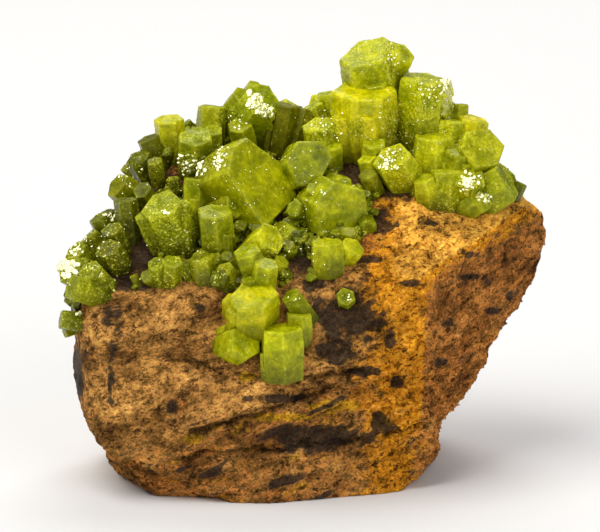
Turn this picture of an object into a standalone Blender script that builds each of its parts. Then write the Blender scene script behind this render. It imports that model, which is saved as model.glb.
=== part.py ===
"""A pyromorphite specimen: stubby green hexagonal prisms on a broken block of brown iron-oxide matrix.

The frame is in metres, +Z up, with the origin on the resting face under the middle of the specimen.
+X runs to the right and -Y towards the viewer of the show face.
All the sizes below are in millimetres, and MM turns them into metres.
"""

import math

import bmesh
import bpy
import numpy as np
from mathutils import Matrix, Vector

MM = 0.001
GAP = 0.3

# The crystals are read off along one line of sight that looks down on the show face.
# A seen height is measured up the plane across that line, and a lean is measured in that plane.
SIGHT_ELEVATION = math.radians(15)
SEEN_UP = np.array([0, math.sin(SIGHT_ELEVATION), math.cos(SIGHT_ELEVATION)])
TO_VIEWER = np.array([0, -math.cos(SIGHT_ELEVATION), math.sin(SIGHT_ELEVATION)])
NEAREST_DEPTH = -22
FARTHEST_DEPTH = 22
DEPTH_STEPS = 1800

# The matrix is two convex blocks grown through each other, an overhanging head on a narrower foot.
# Each is bounded by fracture planes, given by a point on the plane and its outward normal.
ROCK_CENTRE = np.array([0, 2, 12])
HEAD = {
    "front upper": ((-10, -10.6, 16), (0.02, -0.93, 0.36)),
    "front belly": ((-10, -13, 9.5), (-0.05, -0.99, -0.02)),
    "front right": ((8, -9.2, 14), (0.3, -0.95, 0.02)),
    "left end": ((-22.9, 0, 12), (-0.99, -0.12, -0.02)),
    "left lower": ((-22.6, -6, 9.1), (-0.93, -0.1, -0.36)),
    "left front": ((-20.8, -10, 12), (-0.72, -0.68, 0.1)),
    "lobe floor": ((-21.2, -6, 5.9), (-0.43, 0, -0.9)),
    "right flank": ((11, -8.4, 19), (0.75, -0.65, -0.05)),
    "right under": ((19.3, 6, 13), (0.81, 0, -0.585)),
    "right tip": ((24.9, 7, 22.4), (0.97, -0.05, 0.23)),
    "right shoulder": ((23.6, 7, 24.4), (0.6, 0.1, 0.79)),
    "right top": ((17.6, -0.5, 24.4), (0.3, -0.55, 0.78)),
    "main top": ((0, -8.1, 21.6), (-0.1, -0.5, 0.86)),
    "left top": ((-19.3, 2, 22.3), (-0.8, 0, 0.6)),
    "back top": ((5, 12, 30.6), (0.1, 0.6, 0.8)),
    "back": ((0, 15.4, 15), (0.06, 0.98, -0.14)),
    "back left": ((-16, 9.5, 15), (-0.72, 0.68, 0.05)),
    "back right": ((19, 11, 18), (0.7, 0.7, -0.12)),
    "back foot": ((0, 12.5, 3), (0.05, 0.8, -0.6)),
}
FOOT = {
    "foot left": ((-19.3, -5, 4), (-0.98, 0.12, 0.1)),
    "foot heel": ((-18, -6, 0.8), (-0.7, -0.3, -0.65)),
    "foot front": ((-8, -12.6, 3), (-0.22, -0.97, 0)),
    "foot sole edge": ((-8, -12, 0.6), (-0.1, -0.8, -0.6)),
    "foot front right": ((6, -9.6, 3), (0.3, -0.95, 0.1)),
    "foot right": ((12.9, -2, 4.5), (0.96, 0.16, 0.22)),
    "foot right edge": ((12.1, -3, 0.6), (0.75, -0.2, -0.6)),
    "foot top": ((0, 0, 15), (0, 0, 1)),
    "foot back": ((0, 11, 5), (-0.25, 0.95, -0.2)),
}
ARRIS_SHARPNESS = 3.2
JOIN_SHARPNESS = 4.0
LUMPS = ((11, 0.55), (5.2, 0.34), (2.4, 0.17))
LUMP_SEED = 3
SPHERE_SUBDIVISIONS = 5
NEARLY_EDGE_ON = 0.001
FARTHEST_PLANE = 60

# A bedding crack crosses the front, and the stone under it is set back.
CRACK_AT = (-11.4, 3)
CRACK_SLOPE = 0.33
CRACK_SETBACK = 0.55
CRACK_SOFTNESS = 0.45
FRONT_FADE = 8

HASH_FACTORS = (374761393, 668265263, 1440662683)
SEED_FACTOR = 1013904223
MIXING_FACTOR = 1274126177
LOW_BITS = 0xFFFFFFFF

SIDES = 6
TIP_TAPER = 0.96
ROOT_TAPER = 0.93
ROOT_DEPTH = 0.9
SMALLEST_BODY = 0.4

# Each crystal: x, seen height, depth of the tip (None where it is seated on the rock),
# width across flats, length above its seat, lean to the right, tilt to the viewer and turn in degrees,
# and how much wider than deep its outline is, or that outline's own corners, across and deep.
MAIN_OUTLINE = ((3.33, 3.55), (-0.78, 3.16), (-4.48, 0.44), (-4.26, -1.78), (-1.93, -4.28), (5.02, -2.71))
CRYSTALS = {
    "central_cluster": [
        (-4.1, 28.9, None, 7.2, 5.4, 65, 48, 0, MAIN_OUTLINE),
        (-3.2, 22.9, None, 3.2, 3.6, 50, 45, 10, 1.0),
        (-3.6, 20.3, None, 2.4, 3.4, 10, 30, 20, 1.0),
        (-5.7, 21.6, None, 2.8, 3.2, -20, 30, 5, 1.0),
        (-5.4, 18.8, None, 1.3, 3.0, 0, 30, 0, 1.0),
        (0.6, 30.4, None, 4.8, 4.2, 55, 70, 25, 0.9),
        (3.7, 25.3, None, 5.4, 4.0, 115, 64, 10, 1.1),
        (1.5, 27.6, None, 2.3, 3.4, 20, 40, 0, 1.0),
        (-0.7, 22.3, None, 3.0, 2.6, 120, 60, 6, 1.0),
        (-1.9, 20.5, None, 1.8, 2.4, 175, 30, 0, 1.0),
        (2.3, 22.5, None, 3.0, 2.6, -2, 16, 6, 1.0),
        (4.9, 22.0, None, 2.2, 2.0, 40, 45, 10, 1.0),
        (-8.9, 25.5, None, 3.4, 4.4, -5, 26, 4, 1.0),
    ],
    "front_trio": [
        (-5.0, 17.3, None, 4.9, 3.6, 0, 41, -30, 0.86),
        (-5.6, 12.7, None, 3.9, 2.6, 66, 50, 5, 0.9),
        (-2.1, 14.1, None, 4.0, 4.4, -2, 16, 8, 1.0),
        (-0.5, 15.5, None, 2.3, 2.4, 0, 20, 10, 1.0),
        (-1.4, 17.2, None, 1.9, 2.8, -38, 26, 0, 1.0),
    ],
    "low_pair": [
        (-10.1, 21.0, None, 2.3, 2.2, -8, 20, 26, 1.0),
        (-7.9, 19.8, None, 1.9, 1.8, -30, 40, 5, 1.0),
    ],
    "left_barrel": [
        (-14.1, 26.1, None, 4.1, 5.6, -25, 38, 14, 1.0),
        (-15.8, 25.2, None, 1.9, 4.4, -25, 25, 0, 1.0),
        (-14.6, 20.4, None, 1.8, 2.4, -10, 40, 0, 1.0),
        (-13.0, 20.6, None, 2.0, 2.6, 5, 40, 20, 1.0),
    ],
    "upper_left_prisms": [
        (-10.8, 33.0, None, 3.0, 4.6, 2, 42, 6, 1.1),
        (-10.5, 28.8, None, 2.8, 3.8, 2, 6, 6, 1.0),
        (-9.2, 36.1, None, 2.7, 4.2, 3, 6, 22, 1.0),
        (-9.0, 33.7, None, 1.9, 2.8, 2, 38, 0, 1.0),
    ],
    "peak_prism": [
        (-4.2, 36.7, None, 4.4, 5.6, 38, 46, 6, 0.9),
        (-6.4, 34.2, None, 2.4, 3.4, -12, 40, 4, 1.0),
        (-2.9, 34.6, None, 2.0, 2.8, 30, 34, 12, 1.0),
        (-1.6, 36.2, None, 3.0, 4.4, 10, 8, 20, 1.0),
        (0.2, 35.8, None, 2.2, 4.2, 16, 0, 0, 1.0),
    ],
    "summit_cluster": [
        (6.1, 37.6, None, 5.6, 6.0, -3, 22, -28, 1.12),
        (6.5, 41.5, 9.2, 5.4, 5.8, -14, 30, 24, 1.1),
        (12.1, 38.8, None, 4.7, 6.2, 6, 14, -14, 1.0),
        (2.4, 37.4, None, 2.3, 3.8, -8, 12, 0, 1.0),
        (0.9, 36.2, None, 1.8, 3.4, -20, 15, 10, 1.0),
        (1.3, 34.2, None, 3.0, 3.8, -15, 30, 5, 1.0),
        (3.4, 34.6, None, 2.4, 3.8, -26, 25, 20, 1.0),
        (2.6, 32.2, None, 2.3, 2.6, 0, 30, 0, 1.0),
        (8.7, 30.9, None, 3.8, 3.8, -30, 42, 10, 1.0),
        (6.2, 30.8, None, 1.9, 2.8, -20, 30, 8, 1.0),
        (6.9, 32.4, None, 2.3, 3.4, 0, 30, 0, 1.0),
        (12.9, 33.0, None, 3.6, 3.8, 2, 14, 8, 1.0),
        (14.9, 34.6, None, 3.0, 4.2, 6, 8, 5, 1.0),
        (14.0, 29.6, None, 2.7, 3.2, 0, 14, 18, 1.0),
        (11.7, 28.8, None, 2.3, 2.4, -10, 24, 9, 1.0),
        (9.8, 41.4, 8.4, 3.0, 3.0, 40, 34, 12, 1.0),
    ],
    "right_cluster": [
        (17.6, 31.9, None, 4.6, 4.4, 35, 58, 15, 0.94),
        (16.9, 34.8, None, 3.0, 4.4, 10, 14, 15, 1.0),
        (15.5, 36.3, None, 2.2, 4.4, 6, 4, 0, 1.0),
        (16.3, 29.0, None, 3.3, 3.2, 0, 50, 10, 1.0),
        (15.5, 31.6, None, 2.8, 3.6, 14, 30, 0, 1.0),
        (20.2, 28.5, None, 3.0, 4.0, 62, 22, 14, 1.3),
        (18.0, 26.9, None, 1.7, 2.6, 60, 20, 8, 1.3),
    ],
    "lone_button": [(4.1, 17.1, None, 1.8, 1.3, 0, 74, 12, 1.0)],
    "ochre_crystals": [
        (-13.6, 34.8, None, 2.8, 3.8, -6, 22, 20, 1.0),
        (-12.3, 33.6, None, 1.6, 2.8, 12, 10, 0, 1.0),
    ],
    "left_fringe_upper": [
        (-15.6, 32.9, None, 2.4, 3.2, -24, 14, 10, 1.0),
        (-16.6, 31.0, None, 2.5, 3.0, -30, 30, 20, 1.0),
        (-17.8, 30.1, None, 1.4, 2.4, -45, 20, 0, 1.0),
        (-14.9, 30.6, None, 1.6, 2.6, -10, 30, 0, 1.0),
        (-18.6, 28.2, None, 2.6, 3.2, -55, 28, 15, 1.0),
        (-16.1, 27.7, None, 1.9, 2.4, -30, 45, 0, 1.0),
    ],
    "left_fringe_middle": [
        (-17.7, 26.7, None, 2.2, 4.0, -8, 14, 24, 1.0),
        (-20.4, 25.0, None, 2.1, 3.0, -30, 18, 10, 1.0),
        (-19.5, 25.5, None, 1.6, 2.8, -14, 20, 0, 1.0),
        (-19.0, 23.8, None, 2.1, 3.0, -20, 35, 5, 1.0),
        (-21.4, 23.1, None, 1.9, 2.8, -46, 12, 5, 1.0),
        (-19.4, 21.9, None, 2.6, 2.8, -30, 40, 25, 1.0),
    ],
    "left_fringe_lower": [
        (-22.7, 21.6, None, 2.5, 3.4, -45, 30, 8, 1.0),
        (-23.2, 19.8, None, 2.8, 3.4, -62, 40, 18, 1.0),
        (-22.8, 18.0, None, 2.6, 3.0, -72, 30, 0, 1.0),
        (-21.1, 19.7, None, 2.3, 2.8, -40, 48, 0, 1.0),
    ],
    "left_druse": [
        (-24.0, 14.9, None, 1.8, 2.0, -80, 12, 10, 1.0),
        (-23.7, 13.6, None, 1.3, 1.6, -105, 20, 0, 1.0),
    ],
    "rear_left_prisms": [
        (-11.5, 33.4, 14.6, 2.9, 4.6, -24, -52, 8, 1.0),
        (-8.2, 35.0, 14.2, 2.2, 4.2, -4, -40, 20, 1.0),
        (-13.6, 30.2, 15.0, 2.0, 3.8, -46, -58, 4, 1.0),
    ],
    "rear_middle_prisms": [
        (-2.4, 35.6, 16.0, 3.6, 5.0, -8, -46, 14, 1.0),
        (1.8, 36.6, 15.2, 2.6, 4.6, 14, -40, 2, 1.0),
        (0.2, 31.8, 18.0, 2.2, 3.6, 4, -72, 22, 1.0),
    ],
    "rear_right_prisms": [
        (8.2, 36.4, 15.8, 3.2, 5.0, 16, -44, 10, 1.0),
        (12.4, 34.4, 15.4, 2.4, 4.4, 34, -46, 0, 1.0),
        (15.8, 31.6, 15.6, 2.0, 4.2, 52, -40, 16, 1.0),
    ],
}

ROCK_COLOUR = (0.30, 0.16, 0.045, 1)
ROCK_ROUGHNESS = 0.85
CRYSTAL_COLOUR = (0.28, 0.34, 0.015, 1)
CRYSTAL_ROUGHNESS = 0.35


def corner_gradient(cell, seed):
    """A pseudo-random gradient for each whole-numbered lattice corner, from an integer hash."""
    mixed = np.bitwise_and(cell @ np.array(HASH_FACTORS) + seed * SEED_FACTOR, LOW_BITS)
    mixed = np.bitwise_and((mixed ^ (mixed >> 13)) * MIXING_FACTOR, LOW_BITS)
    mixed = mixed ^ (mixed >> 16)
    parts = [np.bitwise_and(mixed >> shift, 1023) / 511.5 - 1 for shift in (0, 10, 20)]
    return np.stack(parts, axis=1)


def gradient_noise(points, seed):
    """Smooth noise of about -0.7 to 0.7: corner gradients blended over each unit cell of the lattice."""
    cell = np.floor(points).astype(np.int64)
    inside = points - cell
    fade = inside**3 * (inside * (inside * 6 - 15) + 10)
    total = np.zeros(len(points))
    for corner in np.ndindex(2, 2, 2):
        offset = np.array(corner)
        share = np.prod(np.where(offset == 1, fade, 1 - fade), axis=1)
        slope = np.einsum("ij,ij->i", corner_gradient(cell + offset, seed), inside - offset)
        total += share * slope
    return total


def set_back(points):
    """How far the stone lies behind the fracture planes: more below the bedding crack on the front."""
    crack_height = CRACK_AT[1] + CRACK_SLOPE * (points[:, 0] - CRACK_AT[0])
    below = crack_height - points @ SEEN_UP
    in_front = np.clip(-points[:, 1] / FRONT_FADE, 0, 1)
    return CRACK_SETBACK * in_front * (0.5 + 0.5 * np.tanh(below / CRACK_SOFTNESS))


def block_radius(directions, fractures):
    """The distance from the rock's centre to one block: a soft least distance to its planes."""
    nearest = np.zeros(len(directions))
    for point, normal in fractures.values():
        outward = np.array(normal) / np.linalg.norm(normal)
        offset = outward @ (np.array(point) - ROCK_CENTRE)
        facing = np.maximum(directions @ outward, NEARLY_EDGE_ON)
        nearest += np.exp(-ARRIS_SHARPNESS * np.minimum(offset / facing, FARTHEST_PLANE))
    return -np.log(nearest) / ARRIS_SHARPNESS


def rock_radius(directions):
    """The distance from the rock's centre to its surface: the farther of the two blocks, softly, then lumps."""
    head = block_radius(directions, HEAD)
    foot = block_radius(directions, FOOT)
    radius = np.logaddexp(JOIN_SHARPNESS * head, JOIN_SHARPNESS * foot) / JOIN_SHARPNESS
    surface = ROCK_CENTRE + directions * radius[:, None]
    for wavelength, height in LUMPS:
        radius = radius + height * gradient_noise(surface / wavelength, LUMP_SEED)
    radius -= set_back(surface)
    to_floor = ROCK_CENTRE[2] / np.maximum(-directions[:, 2], NEARLY_EDGE_ON)
    return np.minimum(radius, to_floor)


def height_above_rock(points):
    """How far each point stands outside the rock, along the line from its centre: negative inside."""
    away = points - ROCK_CENTRE
    distance = np.linalg.norm(away, axis=1)
    return distance - rock_radius(away / distance[:, None])


def crystal_axis(lean, tilt):
    """The unit vector from root to tip, from a lean in the seen plane and a tilt to the viewer."""
    across = np.array([math.sin(lean), 0, 0]) + math.cos(lean) * SEEN_UP
    return math.cos(tilt) * across + math.sin(tilt) * TO_VIEWER


def point_seen(x, seen_height, depths):
    """The points at these depths that are seen at x and that height."""
    height = (seen_height - depths * SEEN_UP[1]) / SEEN_UP[2]
    return np.stack([np.full_like(depths, x), depths, height], axis=1)


def tip_of(x, seen_height, depth, length, axis):
    """The tip's centre. A crystal with no stated depth slides along the line of sight until its seat meets rock."""
    if depth is not None:
        return point_seen(x, seen_height, np.array([float(depth)]))[0]
    tips = point_seen(x, seen_height, np.linspace(NEAREST_DEPTH, FARTHEST_DEPTH, DEPTH_STEPS))
    clear = height_above_rock(tips - length * axis)
    meets = np.flatnonzero(clear <= 0)
    return tips[meets[0] if len(meets) else np.argmin(clear)]


def outline_corners(width, outline):
    """The six corners of a crystal, from 30 degrees on: given ones, or even ones that a number widens."""
    if isinstance(outline, tuple):
        return np.array(outline)
    angles = math.pi / SIDES + 2 * math.pi / SIDES * np.arange(SIDES)
    corner_radius = width / math.sqrt(3)
    return corner_radius * np.stack([outline * np.cos(angles), np.sin(angles)], axis=1)


def prism(name, row, grown, collection):
    """One hexagonal prism from its root, sunk in the rock, to its flat tip, larger all round by grown."""
    x, seen_height, depth, width, length, lean, tilt, turn, outline = row
    axis = crystal_axis(math.radians(lean), math.radians(tilt))
    tip = tip_of(x, seen_height, depth, length, axis) + grown * axis
    root = tip - (length + ROOT_DEPTH + 2 * grown) * axis
    shape = bmesh.new()
    bmesh.ops.create_cone(
        shape,
        cap_ends=True,
        segments=SIDES,
        radius1=ROOT_TAPER * MM,
        radius2=TIP_TAPER * MM,
        depth=float(np.linalg.norm(tip - root)) * MM,
    )
    corners = outline_corners(width, outline)
    corners *= 1 + grown / np.linalg.norm(corners, axis=1)[:, None]
    for vertex in shape.verts:
        corner_angle = math.atan2(vertex.co.y, vertex.co.x) - math.pi / SIDES
        across, deep = corners[round(corner_angle * SIDES / (2 * math.pi)) % SIDES]
        taper = math.hypot(vertex.co.x, vertex.co.y)
        vertex.co.x, vertex.co.y = across * taper, deep * taper
    sideways = np.cross(axis, TO_VIEWER)
    sideways /= np.linalg.norm(sideways)
    facing = np.cross(sideways, axis)
    basis = Matrix([sideways, -facing, axis]).transposed().to_4x4()
    turned = Matrix.Rotation(math.radians(turn), 4, "Z")
    placed = Matrix.Translation(Vector((tip + root) / 2 * MM)) @ basis @ turned
    bmesh.ops.transform(shape, matrix=placed, verts=shape.verts)
    bmesh.ops.recalc_face_normals(shape, faces=shape.faces)
    return mesh_object(name, shape, collection)


def mesh_object(name, shape, collection):
    """An object from a bmesh, which is freed."""
    mesh = bpy.data.meshes.new(name)
    shape.to_mesh(mesh)
    shape.free()
    made = bpy.data.objects.new(name, mesh)
    collection.objects.link(made)
    return made


def rock(name, grown, collection):
    """The matrix: a sphere of even triangles drawn out to the fracture planes, larger all round by grown."""
    shape = bmesh.new()
    bmesh.ops.create_icosphere(shape, subdivisions=SPHERE_SUBDIVISIONS, radius=1)
    directions = np.array([v.co.normalized() for v in shape.verts])
    surface = ROCK_CENTRE + directions * (rock_radius(directions) + grown)[:, None]
    for vertex, place in zip(shape.verts, surface):
        vertex.co = Vector(place * MM)
    return mesh_object(name, shape, collection)


def add_boolean(target, other, operation):
    """Joins or cuts with another object, which stays as a hidden helper."""
    step = target.modifiers.new(other.name, "BOOLEAN")
    step.operation = operation
    step.object = other


def hide(helper):
    helper.hide_render = True
    helper.display_type = "WIRE"


def separate_bodies(mesh):
    """The bodies of a triangulated copy of a mesh, largest first, without the splinters that a cut leaves."""
    whole = bmesh.new()
    whole.from_mesh(mesh)
    bmesh.ops.triangulate(whole, faces=whole.faces)
    whole.verts.index_update()
    unseen = set(whole.verts)
    bodies = []
    while unseen:
        reached = [unseen.pop()]
        body = {reached[0].index}
        while reached:
            for edge in reached.pop().link_edges:
                for vertex in edge.verts:
                    if vertex in unseen:
                        unseen.discard(vertex)
                        body.add(vertex.index)
                        reached.append(vertex)
        volume = sum(face_volume(f) for f in whole.faces if f.verts[0].index in body)
        if volume > SMALLEST_BODY * MM**3:
            kept = whole.copy()
            others = [v for v in kept.verts if v.index not in body]
            bmesh.ops.delete(kept, geom=others, context="VERTS")
            bodies.append((volume, kept))
    whole.free()
    bodies.sort(key=lambda found: -found[0])
    return [kept for _, kept in bodies]


def face_volume(face):
    a, b, c = (v.co for v in face.verts)
    return a.dot(b.cross(c)) / 6


def finish_material(name, colour, roughness):
    material = bpy.data.materials.new(name)
    material.use_nodes = True
    shader = material.node_tree.nodes["Principled BSDF"]
    shader.inputs["Base Color"].default_value = colour
    shader.inputs["Roughness"].default_value = roughness
    shader.inputs["Metallic"].default_value = 0
    return material


def grown_crystal(name, index, row, cutters):
    """The room that one crystal takes up, with the gap to its neighbours."""
    room = prism(f"{name}.room.{index}", row, GAP, cutters)
    hide(room)
    return room


def boxes_meet(a, b):
    """Whether the world boxes of two objects overlap."""
    corners_a = np.array([a.matrix_world @ Vector(c) for c in a.bound_box])
    corners_b = np.array([b.matrix_world @ Vector(c) for c in b.bound_box])
    return bool(
        (corners_a.min(0) < corners_b.max(0)).all() and (corners_b.min(0) < corners_a.max(0)).all()
    )


def crystal_group(name, rows, rooms, rock_room, parts, cutters):
    """The crystals of one group, cut back from the rock and from the groups before it.

    Those that overlap become one solid. Those that stand apart are solids of their own, numbered from 2.
    """
    whole = prism(f"{name}.whole", rows[0], 0, cutters)
    hide(whole)
    for index, row in enumerate(rows[1:], start=1):
        member = prism(f"{name}.member.{index}", row, 0, cutters)
        hide(member)
        add_boolean(whole, member, "UNION")
    bpy.context.view_layer.update()
    united = whole.evaluated_get(bpy.context.evaluated_depsgraph_get())
    near = [room for room in rooms if boxes_meet(united, room)]
    for room in [rock_room] + near:
        add_boolean(whole, room, "DIFFERENCE")
    bpy.context.view_layer.update()
    cut = bpy.data.meshes.new_from_object(whole.evaluated_get(bpy.context.evaluated_depsgraph_get()))
    bodies = separate_bodies(cut)
    bpy.data.meshes.remove(cut)
    names = [name] + [f"{name}_{number}" for number in range(2, len(bodies) + 1)]
    return [mesh_object(node, body, parts) for node, body in zip(names, bodies)]


def build():
    for old in list(bpy.data.objects):
        bpy.data.objects.remove(old)
    parts = bpy.data.collections.new("pyromorphite_specimen")
    cutters = bpy.data.collections.new("helpers")
    for collection in (parts, cutters):
        bpy.context.scene.collection.children.link(collection)
    limonite = finish_material("limonite matrix", ROCK_COLOUR, ROCK_ROUGHNESS)
    pyromorphite = finish_material("pyromorphite", CRYSTAL_COLOUR, CRYSTAL_ROUGHNESS)
    rock("matrix_rock", 0, parts).data.materials.append(limonite)
    rock_room = rock("matrix_rock.room", GAP, cutters)
    hide(rock_room)
    rooms = []
    for name, rows in CRYSTALS.items():
        for solid in crystal_group(name, rows, rooms, rock_room, parts, cutters):
            solid.data.materials.clear()
            solid.data.materials.append(pyromorphite)
        rooms += [grown_crystal(name, index, row, cutters) for index, row in enumerate(rows)]


build()
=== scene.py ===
"""The looks of a pyromorphite specimen, laid out as an add-on and run as a script.

Lengths in tables are in millimetres, and MM turns them into metres. The frame is +Z up, -Y to the viewer.
"""

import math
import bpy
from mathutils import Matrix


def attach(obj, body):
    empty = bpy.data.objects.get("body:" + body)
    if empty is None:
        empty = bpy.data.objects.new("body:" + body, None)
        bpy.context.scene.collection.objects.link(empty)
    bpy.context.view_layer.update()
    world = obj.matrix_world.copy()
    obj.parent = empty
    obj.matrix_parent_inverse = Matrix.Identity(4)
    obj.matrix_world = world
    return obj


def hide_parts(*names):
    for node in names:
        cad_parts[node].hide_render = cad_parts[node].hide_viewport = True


bl_info = {
    "name": "Pyromorphite Specimen",
    "version": (1, 0, 0),
    "blender": (4, 5, 0),
    "location": "3D View > Sidebar > Specimen",
    "description": "Builds crystals, druse and matrix around the packed solids of a pyromorphite specimen",
    "category": "Mesh",
}

import bpy
import numpy as np
from mathutils import Matrix, Vector

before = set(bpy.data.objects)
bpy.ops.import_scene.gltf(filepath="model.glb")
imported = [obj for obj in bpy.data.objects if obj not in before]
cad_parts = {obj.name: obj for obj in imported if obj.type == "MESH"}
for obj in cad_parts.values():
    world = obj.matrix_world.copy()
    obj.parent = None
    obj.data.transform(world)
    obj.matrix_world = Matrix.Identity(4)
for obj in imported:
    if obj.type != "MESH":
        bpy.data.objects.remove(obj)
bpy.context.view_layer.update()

MM = 0.001
BODY = "root"

# The line of sight of the show face looks down by this much.
# A seen height is measured up the plane across that line, and a lean is measured in that plane.
SIGHT_ELEVATION = math.radians(15)
SEEN_RIGHT = np.array([1.0, 0.0, 0.0])
SEEN_UP = np.array([0, math.sin(SIGHT_ELEVATION), math.cos(SIGHT_ELEVATION)])
TO_VIEWER = np.array([0, -math.cos(SIGHT_ELEVATION), math.sin(SIGHT_ELEVATION)])
# A crystal is tried at this many depths along its line of sight.
NEAREST_DEPTH = -22
FARTHEST_DEPTH = 22
DEPTH_STEPS = 1800

# The matrix is two convex blocks grown through each other, an overhanging head on a narrower foot.
# Each is bounded by fracture planes, given by a point on the plane and its outward normal.
ROCK_CENTRE = np.array([0, 2, 12])
HEAD = {
    "front upper": ((-10, -10.6, 16), (0.02, -0.93, 0.36)),
    "front belly": ((-10, -13, 9.5), (-0.05, -0.99, -0.02)),
    "front right": ((8, -9.2, 14), (0.3, -0.95, 0.02)),
    "left end": ((-22.9, 0, 12), (-0.99, -0.12, -0.02)),
    "left lower": ((-22.6, -6, 9.1), (-0.93, -0.1, -0.36)),
    "left front": ((-20.8, -10, 12), (-0.72, -0.68, 0.1)),
    "lobe floor": ((-21.2, -6, 5.9), (-0.43, 0, -0.9)),
    "right flank": ((11, -8.4, 19), (0.75, -0.65, -0.05)),
    "right under": ((19.3, 6, 13), (0.81, 0, -0.585)),
    "right tip": ((24.9, 7, 22.4), (0.97, -0.05, 0.23)),
    "right shoulder": ((23.6, 7, 24.4), (0.6, 0.1, 0.79)),
    "right top": ((17.6, -0.5, 24.4), (0.3, -0.55, 0.78)),
    "main top": ((0, -8.1, 21.6), (-0.1, -0.5, 0.86)),
    "left top": ((-19.3, 2, 22.3), (-0.8, 0, 0.6)),
    "back top": ((5, 12, 30.6), (0.1, 0.6, 0.8)),
    "back": ((0, 15.4, 15), (0.06, 0.98, -0.14)),
    "back left": ((-16, 9.5, 15), (-0.72, 0.68, 0.05)),
    "back right": ((19, 11, 18), (0.7, 0.7, -0.12)),
    "back foot": ((0, 12.5, 3), (0.05, 0.8, -0.6)),
}
FOOT = {
    "foot left": ((-19.3, -5, 4), (-0.98, 0.12, 0.1)),
    "foot heel": ((-18, -6, 0.8), (-0.7, -0.3, -0.65)),
    "foot front": ((-8, -12.6, 3), (-0.22, -0.97, 0)),
    "foot sole edge": ((-8, -12, 0.6), (-0.1, -0.8, -0.6)),
    "foot front right": ((6, -9.6, 3), (0.3, -0.95, 0.1)),
    "foot right": ((12.9, -2, 4.5), (0.96, 0.16, 0.22)),
    "foot right edge": ((12.1, -3, 0.6), (0.75, -0.2, -0.6)),
    "foot top": ((0, 0, 15), (0, 0, 1)),
    "foot back": ((0, 11, 5), (-0.25, 0.95, -0.2)),
}
# How sharp the blocks' edges and their join are. Planes seen too edge-on or too far off hardly count.
ARRIS_SHARPNESS = 3.2
JOIN_SHARPNESS = 4.0
LEAST_FACING = 1e-3
FARTHEST_PLANE = 60

# Wavelength and height of what noise adds to the radius: lumps on the plain rock, then grains.
LUMPS = ((11, 0.55), (5.2, 0.34), (2.4, 0.17))
GRAINS = ((3.1, 0.3), (1.25, 0.24), (0.62, 0.15))
LUMP_SEED = 3
GRAIN_SEED = 21
PLATE_STEPS = 5
BED_LENGTH = 5.5

# The long bedding crack: a place on it, its slope, and how far and how softly the stone below it is set back.
CRACK_AT = (-11.4, 3)
CRACK_SLOPE = 0.33
CRACK_SETBACK = 0.55
CRACK_SOFTNESS = 0.45
CRACK_FADE = 8

# Cracks and bedding ledges seen on the show face: points of x and seen height, depth and half-width.
CRACKS = {
    "long bedding crack": (((-11.4, 3.7), (-4.4, 5.7), (3.6, 8.2)), 0.6, 0.3),
    "lower bedding crack": (((-15.4, 2.7), (-12.9, 2.0), (-8.9, 4.2)), 0.45, 0.26),
    "upper bedding crack": (((-6, 9.2), (0, 9.0), (6, 9.8)), 0.4, 0.26),
    "left edge crack": (((-19.4, 16.2), (-19.0, 14.2)), 0.35, 0.2),
    "left low crack": (((-18.7, 12.7), (-18.5, 11.2)), 0.3, 0.18),
    "front step": (((-14.2, 11.2), (-9.6, 10.4), (-6.2, 8.6)), 0.3, 0.22),
    "foot ledge": (((-12, 1.2), (-3, 1.9), (6, 3.0), (11.6, 4.2)), 0.4, 0.28),
    "ridge crack": (((8.5, 25), (11.4, 19.6), (9.4, 12.5), (11.6, 5)), 0.2, 0.3),
}

# Stains seen on the show face: x, seen height, half-width and half-height.
# Black stains are manganese oxide, except those in the gaps among the crystals, such as at x -1.8 and 5.4,
# which are painted shade.
BLACK_STAINS = (
    (-18.9, 9.6, 0.35, 3.0), (-18.2, 14.6, 0.3, 1.6), (6.4, 20.8, 1.6, 0.5), (8.4, 13.0, 0.6, 1.4),
    (9.4, 8.4, 0.9, 0.7), (18.6, 26.0, 1.8, 0.6), (12.6, 24.4, 1.0, 0.35), (16.4, 21.2, 0.9, 0.3),
    (18.8, 15.6, 0.9, 0.4), (4.4, 15.2, 3.6, 2.4), (3.2, 11.6, 2.6, 1.1), (1.5, 3.2, 5.0, 1.3),
    (-2.6, 7.1, 2.6, 0.45), (5.8, 9.6, 1.8, 0.5), (-22.6, 9.6, 0.9, 3.2), (-19.4, 15.2, 0.5, 1.0),
    (-18.7, 12, 0.4, 0.8), (-10.4, 16.2, 0.7, 0.7), (-12.9, 6.2, 0.6, 0.6), (19.1, 26.5, 1.6, 0.5),
    (16.6, 25.5, 1.4, 0.4), (20.6, 17.2, 0.8, 0.7), (10.4, 18.4, 1.0, 0.35), (16.5, 19.0, 1.6, 0.3),
    (7.5, 4.7, 1.2, 1.0), (-14.4, 29.6, 1.2, 1.4), (-17.5, 21.5, 4.0, 2.6), (-1.8, 31.5, 1.8, 1.6),
    (5.4, 29.5, 2.6, 2.8), (-11, 20, 1.4, 0.6), (8, 27.4, 3.4, 0.7), (7.2, 24.6, 2.0, 1.1),
    (1.0, 18.4, 1.8, 0.8), (-16.8, 18.4, 2.6, 0.7), (18.4, 18.4, 0.5, 0.5), (14.2, 14.6, 0.5, 0.5),
    (13.6, 10.6, 0.7, 0.4), (15.6, 21.6, 0.5, 0.3),
)
OCHRE_STAINS = (
    (-5.5, 9.2, 0.9, 0.5), (-10.9, 3.2, 1.2, 0.5), (7.6, 4.7, 0.9, 0.5), (-10.6, 16.4, 0.5, 0.5),
    (3.4, 6.4, 2.8, 0.5), (-2.0, 5.2, 3.4, 0.4),
)
RUST_STAINS = (
    (-9.4, 2.0, 0.9, 0.6), (-12.9, 29.2, 1.8, 1.2), (-12.4, 6.3, 0.9, 0.7), (5.6, 22.5, 1.6, 1.0),
)

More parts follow.
